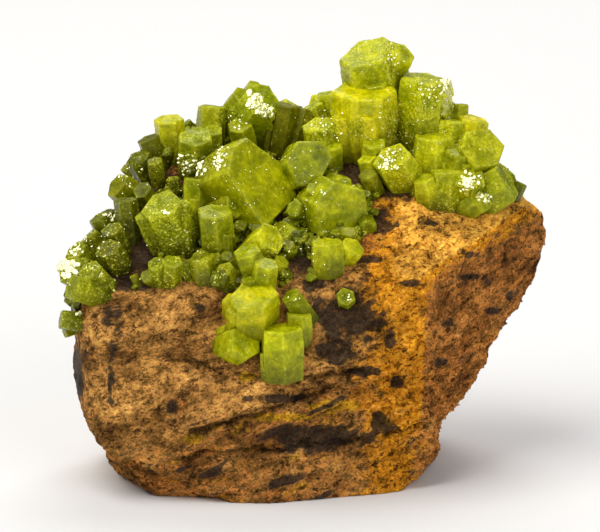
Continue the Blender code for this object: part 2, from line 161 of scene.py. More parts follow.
# Each crystal: x, seen height, width across flats, length above its seat, then lean to the right, tilt to
# the viewer and turn in degrees. An eighth value is how much wider than deep its outline is, or the outline's
# own corners, across and deep. A ninth is the depth of the tip, for a crystal that no line of sight seats.
# Every crystal goes on below its seat by ROOT_DEPTH.
MAIN_OUTLINE = ((3.33, 3.55), (-0.78, 3.16), (-4.48, 0.44), (-4.26, -1.78), (-1.93, -4.28), (5.02, -2.71))
CRYSTALS = {
    "central_cluster": [
        (-4.1, 28.9, 7.2, 5.4, 65, 48, 0, MAIN_OUTLINE), (-3.2, 22.9, 3.2, 3.6, 50, 45, 10),
        (-3.6, 20.3, 2.4, 3.4, 10, 30, 20), (-5.7, 21.6, 2.8, 3.2, -20, 30, 5),
        (-5.4, 18.8, 1.3, 3.0, 0, 30, 0), (0.6, 30.4, 4.8, 4.2, 55, 70, 25, 0.9),
        (3.7, 25.3, 5.4, 4.0, 115, 64, 10, 1.1), (1.5, 27.6, 2.3, 3.4, 20, 40, 0),
        (-0.7, 22.3, 3.0, 2.6, 120, 60, 6), (-1.9, 20.5, 1.8, 2.4, 175, 30, 0),
        (2.3, 22.5, 3.0, 2.6, -2, 16, 6), (4.9, 22.0, 2.2, 2.0, 40, 45, 10),
        (-8.9, 25.5, 3.4, 4.4, -5, 26, 4),
    ],
    "front_trio": [
        (-5.0, 17.3, 4.9, 3.6, 0, 41, -30, 0.86), (-5.6, 12.7, 3.9, 2.6, 66, 50, 5, 0.9),
        (-2.1, 14.1, 4.0, 4.4, -2, 16, 8), (-0.5, 15.5, 2.3, 2.4, 0, 20, 10),
        (-1.4, 17.2, 1.9, 2.8, -38, 26, 0),
    ],
    "low_pair": [(-10.1, 21.0, 2.3, 2.2, -8, 20, 26), (-7.9, 19.8, 1.9, 1.8, -30, 40, 5)],
    "left_barrel": [
        (-14.1, 26.1, 4.1, 5.6, -25, 38, 14), (-15.8, 25.2, 1.9, 4.4, -25, 25, 0),
        (-14.6, 20.4, 1.8, 2.4, -10, 40, 0), (-13.0, 20.6, 2.0, 2.6, 5, 40, 20),
    ],
    "upper_left_prisms": [
        (-10.8, 33.0, 3.0, 4.6, 2, 42, 6, 1.1), (-10.5, 28.8, 2.8, 3.8, 2, 6, 6),
        (-9.2, 36.1, 2.7, 4.2, 3, 6, 22), (-9.0, 33.7, 1.9, 2.8, 2, 38, 0),
    ],
    "peak_prism": [
        (-4.2, 36.7, 4.4, 5.6, 38, 46, 6, 0.9), (-6.4, 34.2, 2.4, 3.4, -12, 40, 4),
        (-2.9, 34.6, 2.0, 2.8, 30, 34, 12), (-1.6, 36.2, 3.0, 4.4, 10, 8, 20),
        (0.2, 35.8, 2.2, 4.2, 16, 0, 0),
    ],
    "summit_cluster": [
        (6.1, 37.6, 5.6, 6.0, -3, 22, -28, 1.12), (6.5, 41.5, 5.4, 5.8, -14, 30, 24, 1.1, 9.2),
        (12.1, 38.8, 4.7, 6.2, 6, 14, -14), (2.4, 37.4, 2.3, 3.8, -8, 12, 0),
        (0.9, 36.2, 1.8, 3.4, -20, 15, 10), (1.3, 34.2, 3.0, 3.8, -15, 30, 5),
        (3.4, 34.6, 2.4, 3.8, -26, 25, 20), (2.6, 32.2, 2.3, 2.6, 0, 30, 0),
        (8.7, 30.9, 3.8, 3.8, -30, 42, 10), (6.2, 30.8, 1.9, 2.8, -20, 30, 8),
        (6.9, 32.4, 2.3, 3.4, 0, 30, 0), (12.9, 33.0, 3.6, 3.8, 2, 14, 8), (14.9, 34.6, 3.0, 4.2, 6, 8, 5),
        (14.0, 29.6, 2.7, 3.2, 0, 14, 18), (11.7, 28.8, 2.3, 2.4, -10, 24, 9),
        (9.8, 41.4, 3.0, 3.0, 40, 34, 12, 1.0, 8.4),
    ],
    "right_cluster": [
        (17.6, 31.9, 4.6, 4.4, 35, 58, 15, 0.94), (16.9, 34.8, 3.0, 4.4, 10, 14, 15),
        (15.5, 36.3, 2.2, 4.4, 6, 4, 0), (16.3, 29.0, 3.3, 3.2, 0, 50, 10),
        (15.5, 31.6, 2.8, 3.6, 14, 30, 0), (20.2, 28.5, 3.0, 4.0, 62, 22, 14, 1.3),
        (18.0, 26.9, 1.7, 2.6, 60, 20, 8, 1.3),
    ],
    "lone_button": [(4.1, 17.1, 1.8, 1.3, 0, 74, 12)],
    "ochre_crystals": [(-13.6, 34.8, 2.8, 3.8, -6, 22, 20), (-12.3, 33.6, 1.6, 2.8, 12, 10, 0)],
    "left_fringe_upper": [
        (-15.6, 32.9, 2.4, 3.2, -24, 14, 10), (-16.6, 31.0, 2.5, 3.0, -30, 30, 20),
        (-17.8, 30.1, 1.4, 2.4, -45, 20, 0), (-14.9, 30.6, 1.6, 2.6, -10, 30, 0),
        (-18.6, 28.2, 2.6, 3.2, -55, 28, 15), (-16.1, 27.7, 1.9, 2.4, -30, 45, 0),
    ],
    "left_fringe_middle": [
        (-17.7, 26.7, 2.2, 4.0, -8, 14, 24), (-20.4, 25.0, 2.1, 3.0, -30, 18, 10),
        (-19.5, 25.5, 1.6, 2.8, -14, 20, 0), (-19.0, 23.8, 2.1, 3.0, -20, 35, 5),
        (-21.4, 23.1, 1.9, 2.8, -46, 12, 5), (-19.4, 21.9, 2.6, 2.8, -30, 40, 25),
    ],
    "left_fringe_lower": [
        (-22.7, 21.6, 2.5, 3.4, -45, 30, 8), (-23.2, 19.8, 2.8, 3.4, -62, 40, 18),
        (-22.8, 18.0, 2.6, 3.0, -72, 30, 0), (-21.1, 19.7, 2.3, 2.8, -40, 48, 0),
    ],
    "left_druse": [(-24.0, 14.9, 1.8, 2.0, -80, 12, 10), (-23.7, 13.6, 1.3, 1.6, -105, 20, 0)],
    "rear_left_prisms": [
        (-11.5, 33.4, 2.9, 4.6, -24, -52, 8, 1.0, 14.6), (-8.2, 35.0, 2.2, 4.2, -4, -40, 20, 1.0, 14.2),
        (-13.6, 30.2, 2.0, 3.8, -46, -58, 4, 1.0, 15.0),
    ],
    "rear_middle_prisms": [
        (-2.4, 35.6, 3.6, 5.0, -8, -46, 14, 1.0, 16.0), (1.8, 36.6, 2.6, 4.6, 14, -40, 2, 1.0, 15.2),
        (0.2, 31.8, 2.2, 3.6, 4, -72, 22, 1.0, 18.0),
    ],
    "rear_right_prisms": [
        (8.2, 36.4, 3.2, 5.0, 16, -44, 10, 1.0, 15.8), (12.4, 34.4, 2.4, 4.4, 34, -46, 0, 1.0, 15.4),
        (15.8, 31.6, 2.0, 4.2, 52, -40, 16, 1.0, 15.6),
    ],
}
ROOT_DEPTH = 0.9

# How each group looks: yellowness from 0, olive, to 1, amber, then shade from 0 to 1, which darkens the
# colour, partly for darker crystals and partly as painted shade, and sugary sparkle, where facets tip and
# painted glints lighten them.
GROUP_LOOKS = {
    "central_cluster": (0.42, 0.24, 0.25), "front_trio": (0.72, 0.16, 0.12), "low_pair": (0.5, 0.5, 0.3),
    "left_barrel": (0.32, 0.2, 0.5), "upper_left_prisms": (0.4, 0.3, 0.3), "peak_prism": (0.3, 0.15, 0.2),
    "summit_cluster": (0.52, 0.05, 0.4), "right_cluster": (0.5, 0.28, 0.3),
    "lone_button": (0.45, 0.35, 0.3), "ochre_crystals": (0.85, 0.15, 0.3),
    "left_fringe_upper": (0.5, 0.74, 0.3), "left_fringe_middle": (0.46, 0.74, 0.4),
    "left_fringe_lower": (0.35, 0.46, 0.5), "left_druse": (0.32, 0.55, 0.45),
    "rear_left_prisms": (0.4, 0.1, 0.3), "rear_middle_prisms": (0.5, 0.05, 0.3),
    "rear_right_prisms": (0.45, 0.1, 0.3),
}
# Single crystals that stand out from their group, by their place in its list, counted from 0.
CRYSTAL_LOOKS = {
    "central_cluster": {
        0: (0.6, 0.28, 0.03), 1: (0.66, 0.1, 0.3), 4: (0.42, 0.38, 0.15), 5: (0.34, 0.2, 0.1),
        6: (0.48, 0.12, 0.1), 8: (0.45, 0.3, 0.3), 9: (0.35, 0.35, 0.3), 10: (0.6, 0.25, 0.2),
        11: (0.75, 0.2, 0.3),
    },
    "front_trio": {0: (0.8, 0.2, 0.25), 1: (0.6, 0.2, 0.1), 2: (0.55, 0.0, 0.05), 4: (0.3, 0.4, 0.1)},
    # The fourth and fifth peak prisms are darkened as painted shadow, where they stand behind their
    # neighbours.
    "peak_prism": {0: (0.15, 0.0, 0.1), 3: (0.8, 0.8, 0.1), 4: (0.8, 0.78, 0.1)},
    "summit_cluster": {0: (0.85, 0.0, 0.2), 1: (0.5, 0.0, 0.4), 2: (0.5, 0.02, 0.4), 15: (0.6, 0.02, 0.05)},
    "right_cluster": {1: (0.9, 0.05, 0.2)},
}
# How far a crystal strays from its group's looks.
LOOK_SPREAD = np.array([0.16, 0.1, 0.12])

# Sugary patches seen on the show face: x, seen height, half-width and half-height.
# In these patches the facets tip and painted glints lighten them.
SUGAR_SPOTS = (
    (-8.5, 30.8, 1.3, 1.3), (-10.9, 30.0, 1.5, 1.2), (-12.6, 24.6, 1.8, 1.8), (-13.4, 22.6, 2.0, 1.6),
    (8.6, 41.0, 0.7, 2.4), (8.9, 34.6, 1.4, 2.4), (12.4, 37.6, 1.2, 2.2), (8.6, 31.0, 1.6, 1.4),
    (16.4, 28.6, 1.5, 1.2), (2.0, 34.0, 1.8, 1.8), (-23.4, 20.4, 1.4, 1.2), (-1.8, 22.0, 2.2, 1.8),
    (-7.6, 35.0, 1.2, 1.0), (5.2, 33.6, 1.4, 0.9),
)
# Clean little facets that catch the light: x, seen height, half-width and half-height of the patch, how many,
# and the facets' width.
GLINTS = (
    (-4.9, 36.5, 0.45, 0.6, 60, 0.8), (-4.0, 35.6, 0.6, 0.4, 34, 0.8), (14.1, 36.8, 0.35, 1.5, 110, 0.8),
    (12.4, 37.2, 0.9, 1.2, 26, 0.26), (8.6, 30.5, 1.0, 0.9, 40, 0.32), (-11.1, 30.2, 1.2, 0.8, 56, 0.5),
    (-8.4, 30.3, 0.4, 0.5, 22, 0.45), (-8.1, 31.6, 0.6, 0.7, 16, 0.3), (16.2, 28.4, 1.1, 0.8, 34, 0.5),
    (17.9, 27.0, 0.5, 0.3, 16, 0.5), (-23.2, 19.8, 0.7, 0.6, 34, 0.7), (-22.6, 21.6, 0.5, 0.4, 16, 0.4),
    (-19.4, 25.1, 0.35, 0.3, 10, 0.45), (-13.6, 25.5, 0.3, 0.3, 8, 0.36), (-12.2, 22.6, 1.6, 1.0, 20, 0.22),
    (-22.1, 15.4, 0.3, 0.15, 7, 0.45), (-18.5, 17.7, 0.35, 0.15, 6, 0.4), (-17.2, 18.6, 0.35, 0.15, 6, 0.4),
    (-19.9, 19.3, 0.2, 0.4, 6, 0.4), (4.4, 17.0, 0.15, 0.4, 5, 0.22), (8.3, 34.2, 1.4, 1.8, 30, 0.24),
    (2.0, 34.4, 1.4, 1.4, 24, 0.24), (-0.9, 17.0, 0.6, 0.3, 4, 0.25), (-21.8, 22.6, 1.4, 1.2, 16, 0.24),
    (8.7, 40.6, 0.5, 2.4, 34, 0.22), (1.6, 27.6, 1.2, 1.2, 12, 0.2), (-0.4, 21.6, 1.6, 1.0, 12, 0.22),
    (-18.0, 29.0, 1.6, 1.4, 16, 0.26), (-6.8, 34.6, 1.2, 0.8, 14, 0.24), (-9.0, 27.0, 8.0, 7.0, 110, 0.14),
    (9.0, 34.0, 8.0, 7.0, 150, 0.14), (-20.0, 22.0, 4.0, 4.0, 70, 0.16), (1.0, 26.0, 5.0, 5.0, 60, 0.14),
)

# Upper edge of the smooth break down the right side, which is painted in shade, as x and seen height on the
# show face.
FLANK_EDGE = ((11.5, 4), (12.1, 18.2), (14.6, 20.5), (19.6, 22.7), (24.1, 25.7))

# Lower edge of the crystal-covered ground, as x and seen height on the show face.
DRUSE_EDGE = (
    (-25, 12.5), (-21.5, 16.5), (-19.4, 17.4), (-15, 18.4), (-12.4, 19.1), (-8.4, 17.8), (-4, 17.6),
    (0, 19), (3, 19.5), (5.2, 21.2), (6.4, 24), (7.2, 27), (10, 27.4), (14, 26.8), (18, 26.3), (22, 26.8),
)
# Ground inside that edge where the stone shows between the crystals.
BARE_SPOTS = (
    (-17.6, 20.8, 2.8, 2.6), (-14.0, 29.8, 1.3, 1.8), (-12.4, 29.0, 1.4, 1.0), (-2.2, 31.5, 0.8, 1.3),
    (5.4, 29.7, 1.9, 2.6), (-0.4, 20.4, 1.0, 1.2), (-2.2, 24.6, 0.5, 1.0),
)

# Wavelength and seed of the noise for each use.
NOISES = {
    "crack drift": (2.1, 11), "crack jitter": (0.8, 12), "plates": (2.4, 33), "pits": (1.3, 41),
    "stain rim": (1.4, 91), "stain jitter": (0.6, 92), "stone patches": (3.4, 95), "fresh patches": (4.2, 96),
    "druse edge": (2.0, 81), "druse crowds": (3.0, 83), "grit patches": (2.2, 25),
}
# The integer hash behind the noise: factors for the axes and the seed, one that mixes, and 32 bits to stay in.
HASH_FACTORS = np.array([374761393, 668265263, 1440662683])
HASH_SEED_FACTOR = 1013904223
HASH_MIXER = 1274126177
HASH_WORD = 0xFFFFFFFF
# How sharp the rims of stains are.
RIM_SHARPNESS = 6

# Depths that the marks of the show face, its sugary patches and the druse reach back to.
SHOW_FACE_DEPTH = 8
SUGAR_DEPTH = 12
DRUSE_DEPTH = 13.5

# The least upward turn of ground that carries druse.
DRUSE_UPWARD = 0.12

# Where the stone changes from left to right: the orange side, the ridge, which has a painted highlight, and
# its width, and the flank, which is painted in shade.
ORANGE_FROM = 5.5
RIDGE_AT = 9.6
RIDGE_WIDTH = 2.6
FLANK_FROM = 11.2

# Seeds of the pieces whose parts are scattered, and how far scattered directions stray.
GRIT_SEED = 23
DRUSE_SEED = 5
FACET_SEED = 17
STRAYING = 0.012

# A small turn of a direction, and a direction that no normal shares, to find the rock's normals with.
SMALL_TURN = 0.012
STRAY_DIRECTION = (0.3, 0.5, 0.81)

# How much closer the rock's columns of points stand on the show face.
SHOW_FACE_CROWDING = 0.42

# Edges sharper than this many degrees stay sharp.
ROCK_SMOOTH_ANGLE = 50
CRYSTAL_SMOOTH_ANGLE = 26

# The points of a large crystal: how far along a side they stand, then rows up the sides and over the end.
SIDES = 6
SIDE_SHARES = np.array([0.02, 0.07, 0.2, 0.38, 0.62, 0.8, 0.93, 0.98])
RING_POINTS = SIDES * len(SIDE_SHARES)
SIDE_STEPS = 22
CAP_STEPS = 8
CAP_MIDDLE = 0.12
SMALL_POINTS = 3 * SIDES + 2

# How far sides are uneven, ends narrower and roots narrower still, and how many steps ends and sides have.
UNEVENNESS = 0.1
BARREL = 0.07
ROOT_TAPER = 1.6
TERRACES = 4
GROWTH_STEPS = 5
# How far the painted glow reaches in from an edge.
EDGE_WIDTH = 0.28

# A crystal as wide as the second, third or last of these has one, two or three smaller neighbours.
NEIGHBOUR_WIDTHS = (1.9, 2.6, 3.6, 5.4)
# Least and most of their width as a share of its own, turn from a side's middle in degrees, and drop.
NEIGHBOUR_SIZE = (0.26, 0.46)
NEIGHBOUR_TURN = (-16, 16)
NEIGHBOUR_DROP = (0.6, 2.8)

# A crumb of grit is an eight-sided lump with a corner at each end of three axes.
CRUMB_CORNERS = np.array([[1.0, 0, 0], [-1, 0, 0], [0, 1, 0], [0, -1, 0], [0, 0, 1], [0, 0, -1]])
CRUMB_FACES = np.array([
    [0, 2, 4], [2, 1, 4], [1, 3, 4], [3, 0, 4], [2, 0, 5], [1, 2, 5], [3, 1, 5], [0, 3, 5]
])

# The values that each point carries for the materials.
STONE_MASKS = ("black", "ochre", "rust_and_flank_shade", "crest", "lit_top_and_ridge", "hollow_shade_and_crumb_tone")
CRYSTAL_MASKS = ("edge", "rooted", "along", "tint", "shade", "sugar")
# The facets' edge value mixes nearly all their colour to the light edge tone, a painted highlight over their
# gloss.
FACET_LOOK = {"tint": 0.6, "edge": 1.8}

# Roughness and specular level: low for the waxy crystals, high for the facets that mirror the light.
CRYSTAL_GLOSS = (0.15, 0.06)
FACET_GLOSS = (0.12, 1.0)

# Lines of sight start this far from the specimen, and run this far.
SIGHT_START = 60
SIGHT_LENGTH = 100

# The stage, in metres: the main light, what the lights point at, and the paper. It runs from front to back,
# bends up, and lies a hair below the rock.
KEY_PLACE = (-0.24, -0.12, 0.47)
LIT_MIDDLE = (0, 0, 0.022)
PAPER_FRONT = -2.5
PAPER_BACK = 1.2
PAPER_BEND = 0.5
PAPER_TOP = 3.0
PAPER_HALF_WIDTH = 3.0
PAPER_GAP = 0.00004
# The camera's sensor, and the x and seen height that it looks at.
SENSOR_WIDTH = 36
CAMERA_AIM = (-0.4, 20.1)


def linear(code):
    """A linear colour with full alpha from an sRGB hex code: each channel through the sRGB curve."""
    srgb = [int(code[i:i + 2], 16) / 255 for i in (1, 3, 5)]
    return tuple(c / 12.92 if c <= 0.04045 else ((c + 0.055) / 1.055) ** 2.4 for c in srgb) + (1.0,)


def unit(vectors):
    """Each row divided by its length."""
    return vectors / np.linalg.norm(vectors, axis=1)[:, None]


def soft_step(values):
    """The logistic curve: 0 far below zero, one half at zero and 1 far above it."""
    return 1 / (1 + np.exp(-values))


def corner_gradient(cell, seed):
    """A pseudo-random gradient for each whole-numbered lattice corner, from an integer hash."""
    mixed = np.bitwise_and(cell @ HASH_FACTORS + seed * HASH_SEED_FACTOR, HASH_WORD)
    mixed = np.bitwise_and((mixed ^ (mixed >> 13)) * HASH_MIXER, HASH_WORD)
    mixed = mixed ^ (mixed >> 16)
    parts = [np.bitwise_and(mixed >> shift, 1023) / 511.5 - 1 for shift in (0, 10, 20)]
    return np.stack(parts, axis=1)


def gradient_noise(points, seed):
    """Smooth noise of about -0.7 to 0.7: corner gradients blended over each unit cell of the lattice."""
    cell = np.floor(points).astype(np.int64)
    inside = points - cell
    fade = inside**3 * (inside * (inside * 6 - 15) + 10)
    total = np.zeros(len(points))
    for corner in np.ndindex(2, 2, 2):
        offset = np.array(corner)
        share = np.prod(np.where(offset == 1, fade, 1 - fade), axis=1)
        slope = np.einsum("ij,ij->i", corner_gradient(cell + offset, seed), inside - offset)
        total += share * slope
    return total


def noise(points, use):
    """The gradient noise for one use, at its own wavelength and seed."""
    wavelength, seed = NOISES[use]
    return gradient_noise(points / wavelength, seed)


def set_back(points):
    """How far the stone lies behind the fracture planes: more below the bedding crack on the front."""
    crack_height = CRACK_AT[1] + CRACK_SLOPE * (points[:, 0] - CRACK_AT[0])
    below = crack_height - points @ SEEN_UP
    in_front = np.clip(-points[:, 1] / CRACK_FADE, 0, 1)
    return CRACK_SETBACK * in_front * (0.5 + 0.5 * np.tanh(below / CRACK_SOFTNESS))


def block_radius(directions, fractures):
    """The distance from the rock's centre to one block: a soft least distance to its planes."""
    nearest = np.zeros(len(directions))
    for point, normal in fractures.values():
        outward = np.array(normal) / np.linalg.norm(normal)
        offset = outward @ (np.array(point) - ROCK_CENTRE)
        facing = np.maximum(directions @ outward, LEAST_FACING)
        nearest += np.exp(-ARRIS_SHARPNESS * np.minimum(offset / facing, FARTHEST_PLANE))
    return -np.log(nearest) / ARRIS_SHARPNESS


def rock_radius(directions):
    """The distance from the rock's centre to its surface: softly the farther of two blocks, then lumps."""
    head = block_radius(directions, HEAD)
    foot = block_radius(directions, FOOT)
    radius = np.logaddexp(JOIN_SHARPNESS * head, JOIN_SHARPNESS * foot) / JOIN_SHARPNESS
    surface = ROCK_CENTRE + directions * radius[:, None]
    for wavelength, height in LUMPS:
        radius = radius + height * gradient_noise(surface / wavelength, LUMP_SEED)
    radius -= set_back(surface)
    to_floor = ROCK_CENTRE[2] / np.maximum(-directions[:, 2], LEAST_FACING)
    return np.minimum(radius, to_floor)


def on_rock(directions):
    """The points of the plain rock's surface in these directions from its centre."""
    return ROCK_CENTRE + directions * rock_radius(directions)[:, None]


def rock_normals(directions):
    """Outward unit normals of the plain rock, from the surface's change over two small turns."""
    aside = unit(np.cross(directions, STRAY_DIRECTION))
    above = np.cross(directions, aside)
    normal = np.cross(*(
        on_rock(unit(directions + SMALL_TURN * side)) - on_rock(unit(directions - SMALL_TURN * side))
        for side in (aside, above)
    ))
    normal *= np.sign((normal * directions).sum(axis=1))[:, None]
    return unit(normal)


def height_above_rock(points):
    """How far each point stands outside the rock, along the line from its centre: negative inside."""
    away = points - ROCK_CENTRE
    distance = np.linalg.norm(away, axis=1)
    return distance - rock_radius(away / distance[:, None])


def crystal_axis(lean, tilt):
    """The unit vector from root to tip, from a lean in the seen plane and a tilt to the viewer."""
    across = np.array([math.sin(lean), 0, 0]) + math.cos(lean) * SEEN_UP
    return math.cos(tilt) * across + math.sin(tilt) * TO_VIEWER


def point_seen(x, seen_height, depths):
    """The points at these depths that are seen at x and that height."""
    height = (seen_height - depths * SEEN_UP[1]) / SEEN_UP[2]
    return np.stack([np.full_like(depths, x), depths, height], axis=1)


def tip_of(x, seen_height, depth, length, axis):
    """The tip's centre. With no stated depth it slides along the line of sight until its seat meets rock."""
    if depth is not None:
        return point_seen(x, seen_height, np.array([float(depth)]))[0]
    tips = point_seen(x, seen_height, np.linspace(NEAREST_DEPTH, FARTHEST_DEPTH, DEPTH_STEPS))
    clear = height_above_rock(tips - length * axis)
    meets = np.flatnonzero(clear <= 0)
    return tips[meets[0] if len(meets) else np.argmin(clear)]


def line_distance(x, height, points):
    """The distance from each (x, height) to a line through the points: the least over its stretches."""
    least = np.full(len(x), np.inf)
    for (x0, h0), (x1, h1) in zip(points, points[1:]):
        run, rise = x1 - x0, h1 - h0
        share = np.clip(((x - x0) * run + (height - h0) * rise) / (run**2 + rise**2), 0, 1)
        least = np.minimum(least, np.hypot(x - x0 - share * run, height - h0 - share * rise))
    return least


def stain(x, height, spots, wobble):
    """How stained each place is, 0 to 1: the strongest of soft ovals, their rims pushed about by wobble."""
    strongest = np.zeros(len(x))
    for centre_x, centre_height, half_width, half_height in spots:
        reach = np.hypot((x - centre_x) / half_width, (height - centre_height) / half_height)
        strongest = np.maximum(strongest, soft_step(-(reach - 1 + wobble) * RIM_SHARPNESS))
    return strongest


def grid_faces(rows, columns):
    """Four-cornered faces between rows of a grid whose columns run round and close."""
    row = np.arange(rows - 1)[:, None] * columns
    column = np.arange(columns)[None, :]
    after = (column + 1) % columns
    faces = [row + column, row + after, row + columns + after, row + columns + column]
    return np.stack(faces, axis=-1).reshape(-1, 4)


def fan_faces(ring_start, columns, tip, outward):
    """Three-cornered faces from a ring to a single point."""
    here = ring_start + np.arange(columns)
    after = ring_start + (np.arange(columns) + 1) % columns
    point = np.full(columns, tip)
    order = (here, after, point) if outward else (after, here, point)
    return np.stack(order, axis=1)


def new_piece(name, points, quads, triangles, attributes, material, smooth_angle=None):
    """A mesh object at the origin, from points in millimetres, faces, and attributes with a value a point."""
    mesh = bpy.data.meshes.new(name)
    loops = np.concatenate([quads.ravel(), triangles.ravel()]).astype(np.int32)
    sizes = np.concatenate([np.full(len(quads), 4), np.full(len(triangles), 3)])
    starts = np.concatenate([[0], np.cumsum(sizes)[:-1]]).astype(np.int32)
    mesh.vertices.add(len(points))
    mesh.vertices.foreach_set("co", (points * MM).astype(np.float32).ravel())
    mesh.loops.add(len(loops))
    mesh.loops.foreach_set("vertex_index", loops)
    mesh.polygons.add(len(sizes))
    mesh.polygons.foreach_set("loop_start", starts)
    for key, values in attributes.items():
        layer = mesh.attributes.new(key, "FLOAT", "POINT")
        layer.data.foreach_set("value", values.astype(np.float32))
    mesh.update(calc_edges=True)
    if mesh.validate():
        raise RuntimeError(f"{name} has faces that cannot be drawn")
    if smooth_angle is None:
        mesh.shade_flat()
    else:
        mesh.shade_smooth()
        mesh.set_sharp_from_angle(angle=math.radians(smooth_angle))
    mesh.materials.append(material)
    piece = bpy.data.objects.new(name, mesh)
    bpy.context.scene.collection.objects.link(piece)
    return piece


def outward_faces(piece):
    """Stops with an error if a closed piece has its faces turned inwards."""
    mesh = piece.data
    mesh.calc_loop_triangles()
    corners = np.empty(len(mesh.loop_triangles) * 3, np.int32)
    mesh.loop_triangles.foreach_get("vertices", corners)
    places = np.empty(len(mesh.vertices) * 3, np.float32)
    mesh.vertices.foreach_get("co", places)
    a, b, c = places.reshape(-1, 3)[corners.reshape(-1, 3)].transpose(1, 0, 2).astype(np.float64)
    if (a * np.cross(b, c)).sum() <= 0:
        raise RuntimeError(f"{piece.name} is inside out")


def rock_grid(rows, columns):
    """Directions on a sphere: the polar angle over the rows, and columns crowded to the show face."""
    polar = np.linspace(0, math.pi, rows + 2)[1:-1]
    even = np.linspace(0, 2 * math.pi, columns, endpoint=False)
    round_angle = even + SHOW_FACE_CROWDING * np.sin(even)
    ring = np.sin(polar)[:, None]
    upwards = np.broadcast_to(np.cos(polar)[:, None], (rows, columns))
    directions = np.stack([ring * np.sin(round_angle), ring * np.cos(round_angle), upwards], axis=-1)
    return directions.reshape(-1, 3)


def bedding(points):
    """Noise drawn out along the beds, which dip to the left."""
    height = points[:, 2] - CRACK_SLOPE * points[:, 0]
    beds = np.stack([points[:, 0] / BED_LENGTH, points[:, 1] / BED_LENGTH, height], axis=1)
    return gradient_noise(beds, 31) + 0.5 * gradient_noise(beds * 2.1, 32)


def rock_surface(directions):
    """The finished rock: the plain radius, plus grains, bedding and plates, less cracks and pits.

    A crack is a ditch that falls off with the square of the distance from its line. A grain is the size of
    the noise taken from a constant, which leaves creases between lumps. Bedding is noise drawn out along the
    beds. Plates are noise rounded to steps. Returns the points and how deep each is cracked.
    """
    radius = rock_radius(directions)
    surface = ROCK_CENTRE + directions * radius[:, None]
    x = surface[:, 0]
    seen_height = surface @ SEEN_UP
    shift = 0.7 * noise(surface, "crack drift") + 0.35 * noise(surface, "crack jitter")
    in_front = soft_step(-(surface[:, 1] + 1))
    off_floor = np.clip(surface[:, 2] / 0.8, 0, 1)
    cracked = np.zeros(len(radius))
    for points, depth, half_width in CRACKS.values():
        distance = line_distance(x + shift, seen_height + shift, points)
        cracked = np.maximum(cracked, depth * np.exp(-((distance / half_width) ** 2)))
    ragged = np.zeros(len(radius))
    for wavelength, height in GRAINS:
        ragged += height * (0.35 - 2.2 * np.abs(gradient_noise(surface / wavelength, GRAIN_SEED)))
    low = soft_step(-(seen_height - 9.5 - CRACK_SLOPE * x) * 0.8)
    right = soft_step((x - 7) * 0.7)
    plates = np.round(noise(surface, "plates") * PLATE_STEPS) / PLATE_STEPS
    pits = np.clip(noise(surface, "pits") - 0.3, 0, 1)
    relief = (0.7 + 0.15 * right + 0.4 * low) * ragged
    relief = relief + (0.1 + 0.5 * low) * bedding(surface) + (0.15 + 0.5 * right) * plates - 0.9 * pits
    radius = radius + off_floor * (relief - cracked * in_front)
    finished = ROCK_CENTRE + directions * radius[:, None]
    finished[:, 2] = np.maximum(finished[:, 2], 0)
    return finished, cracked * in_front


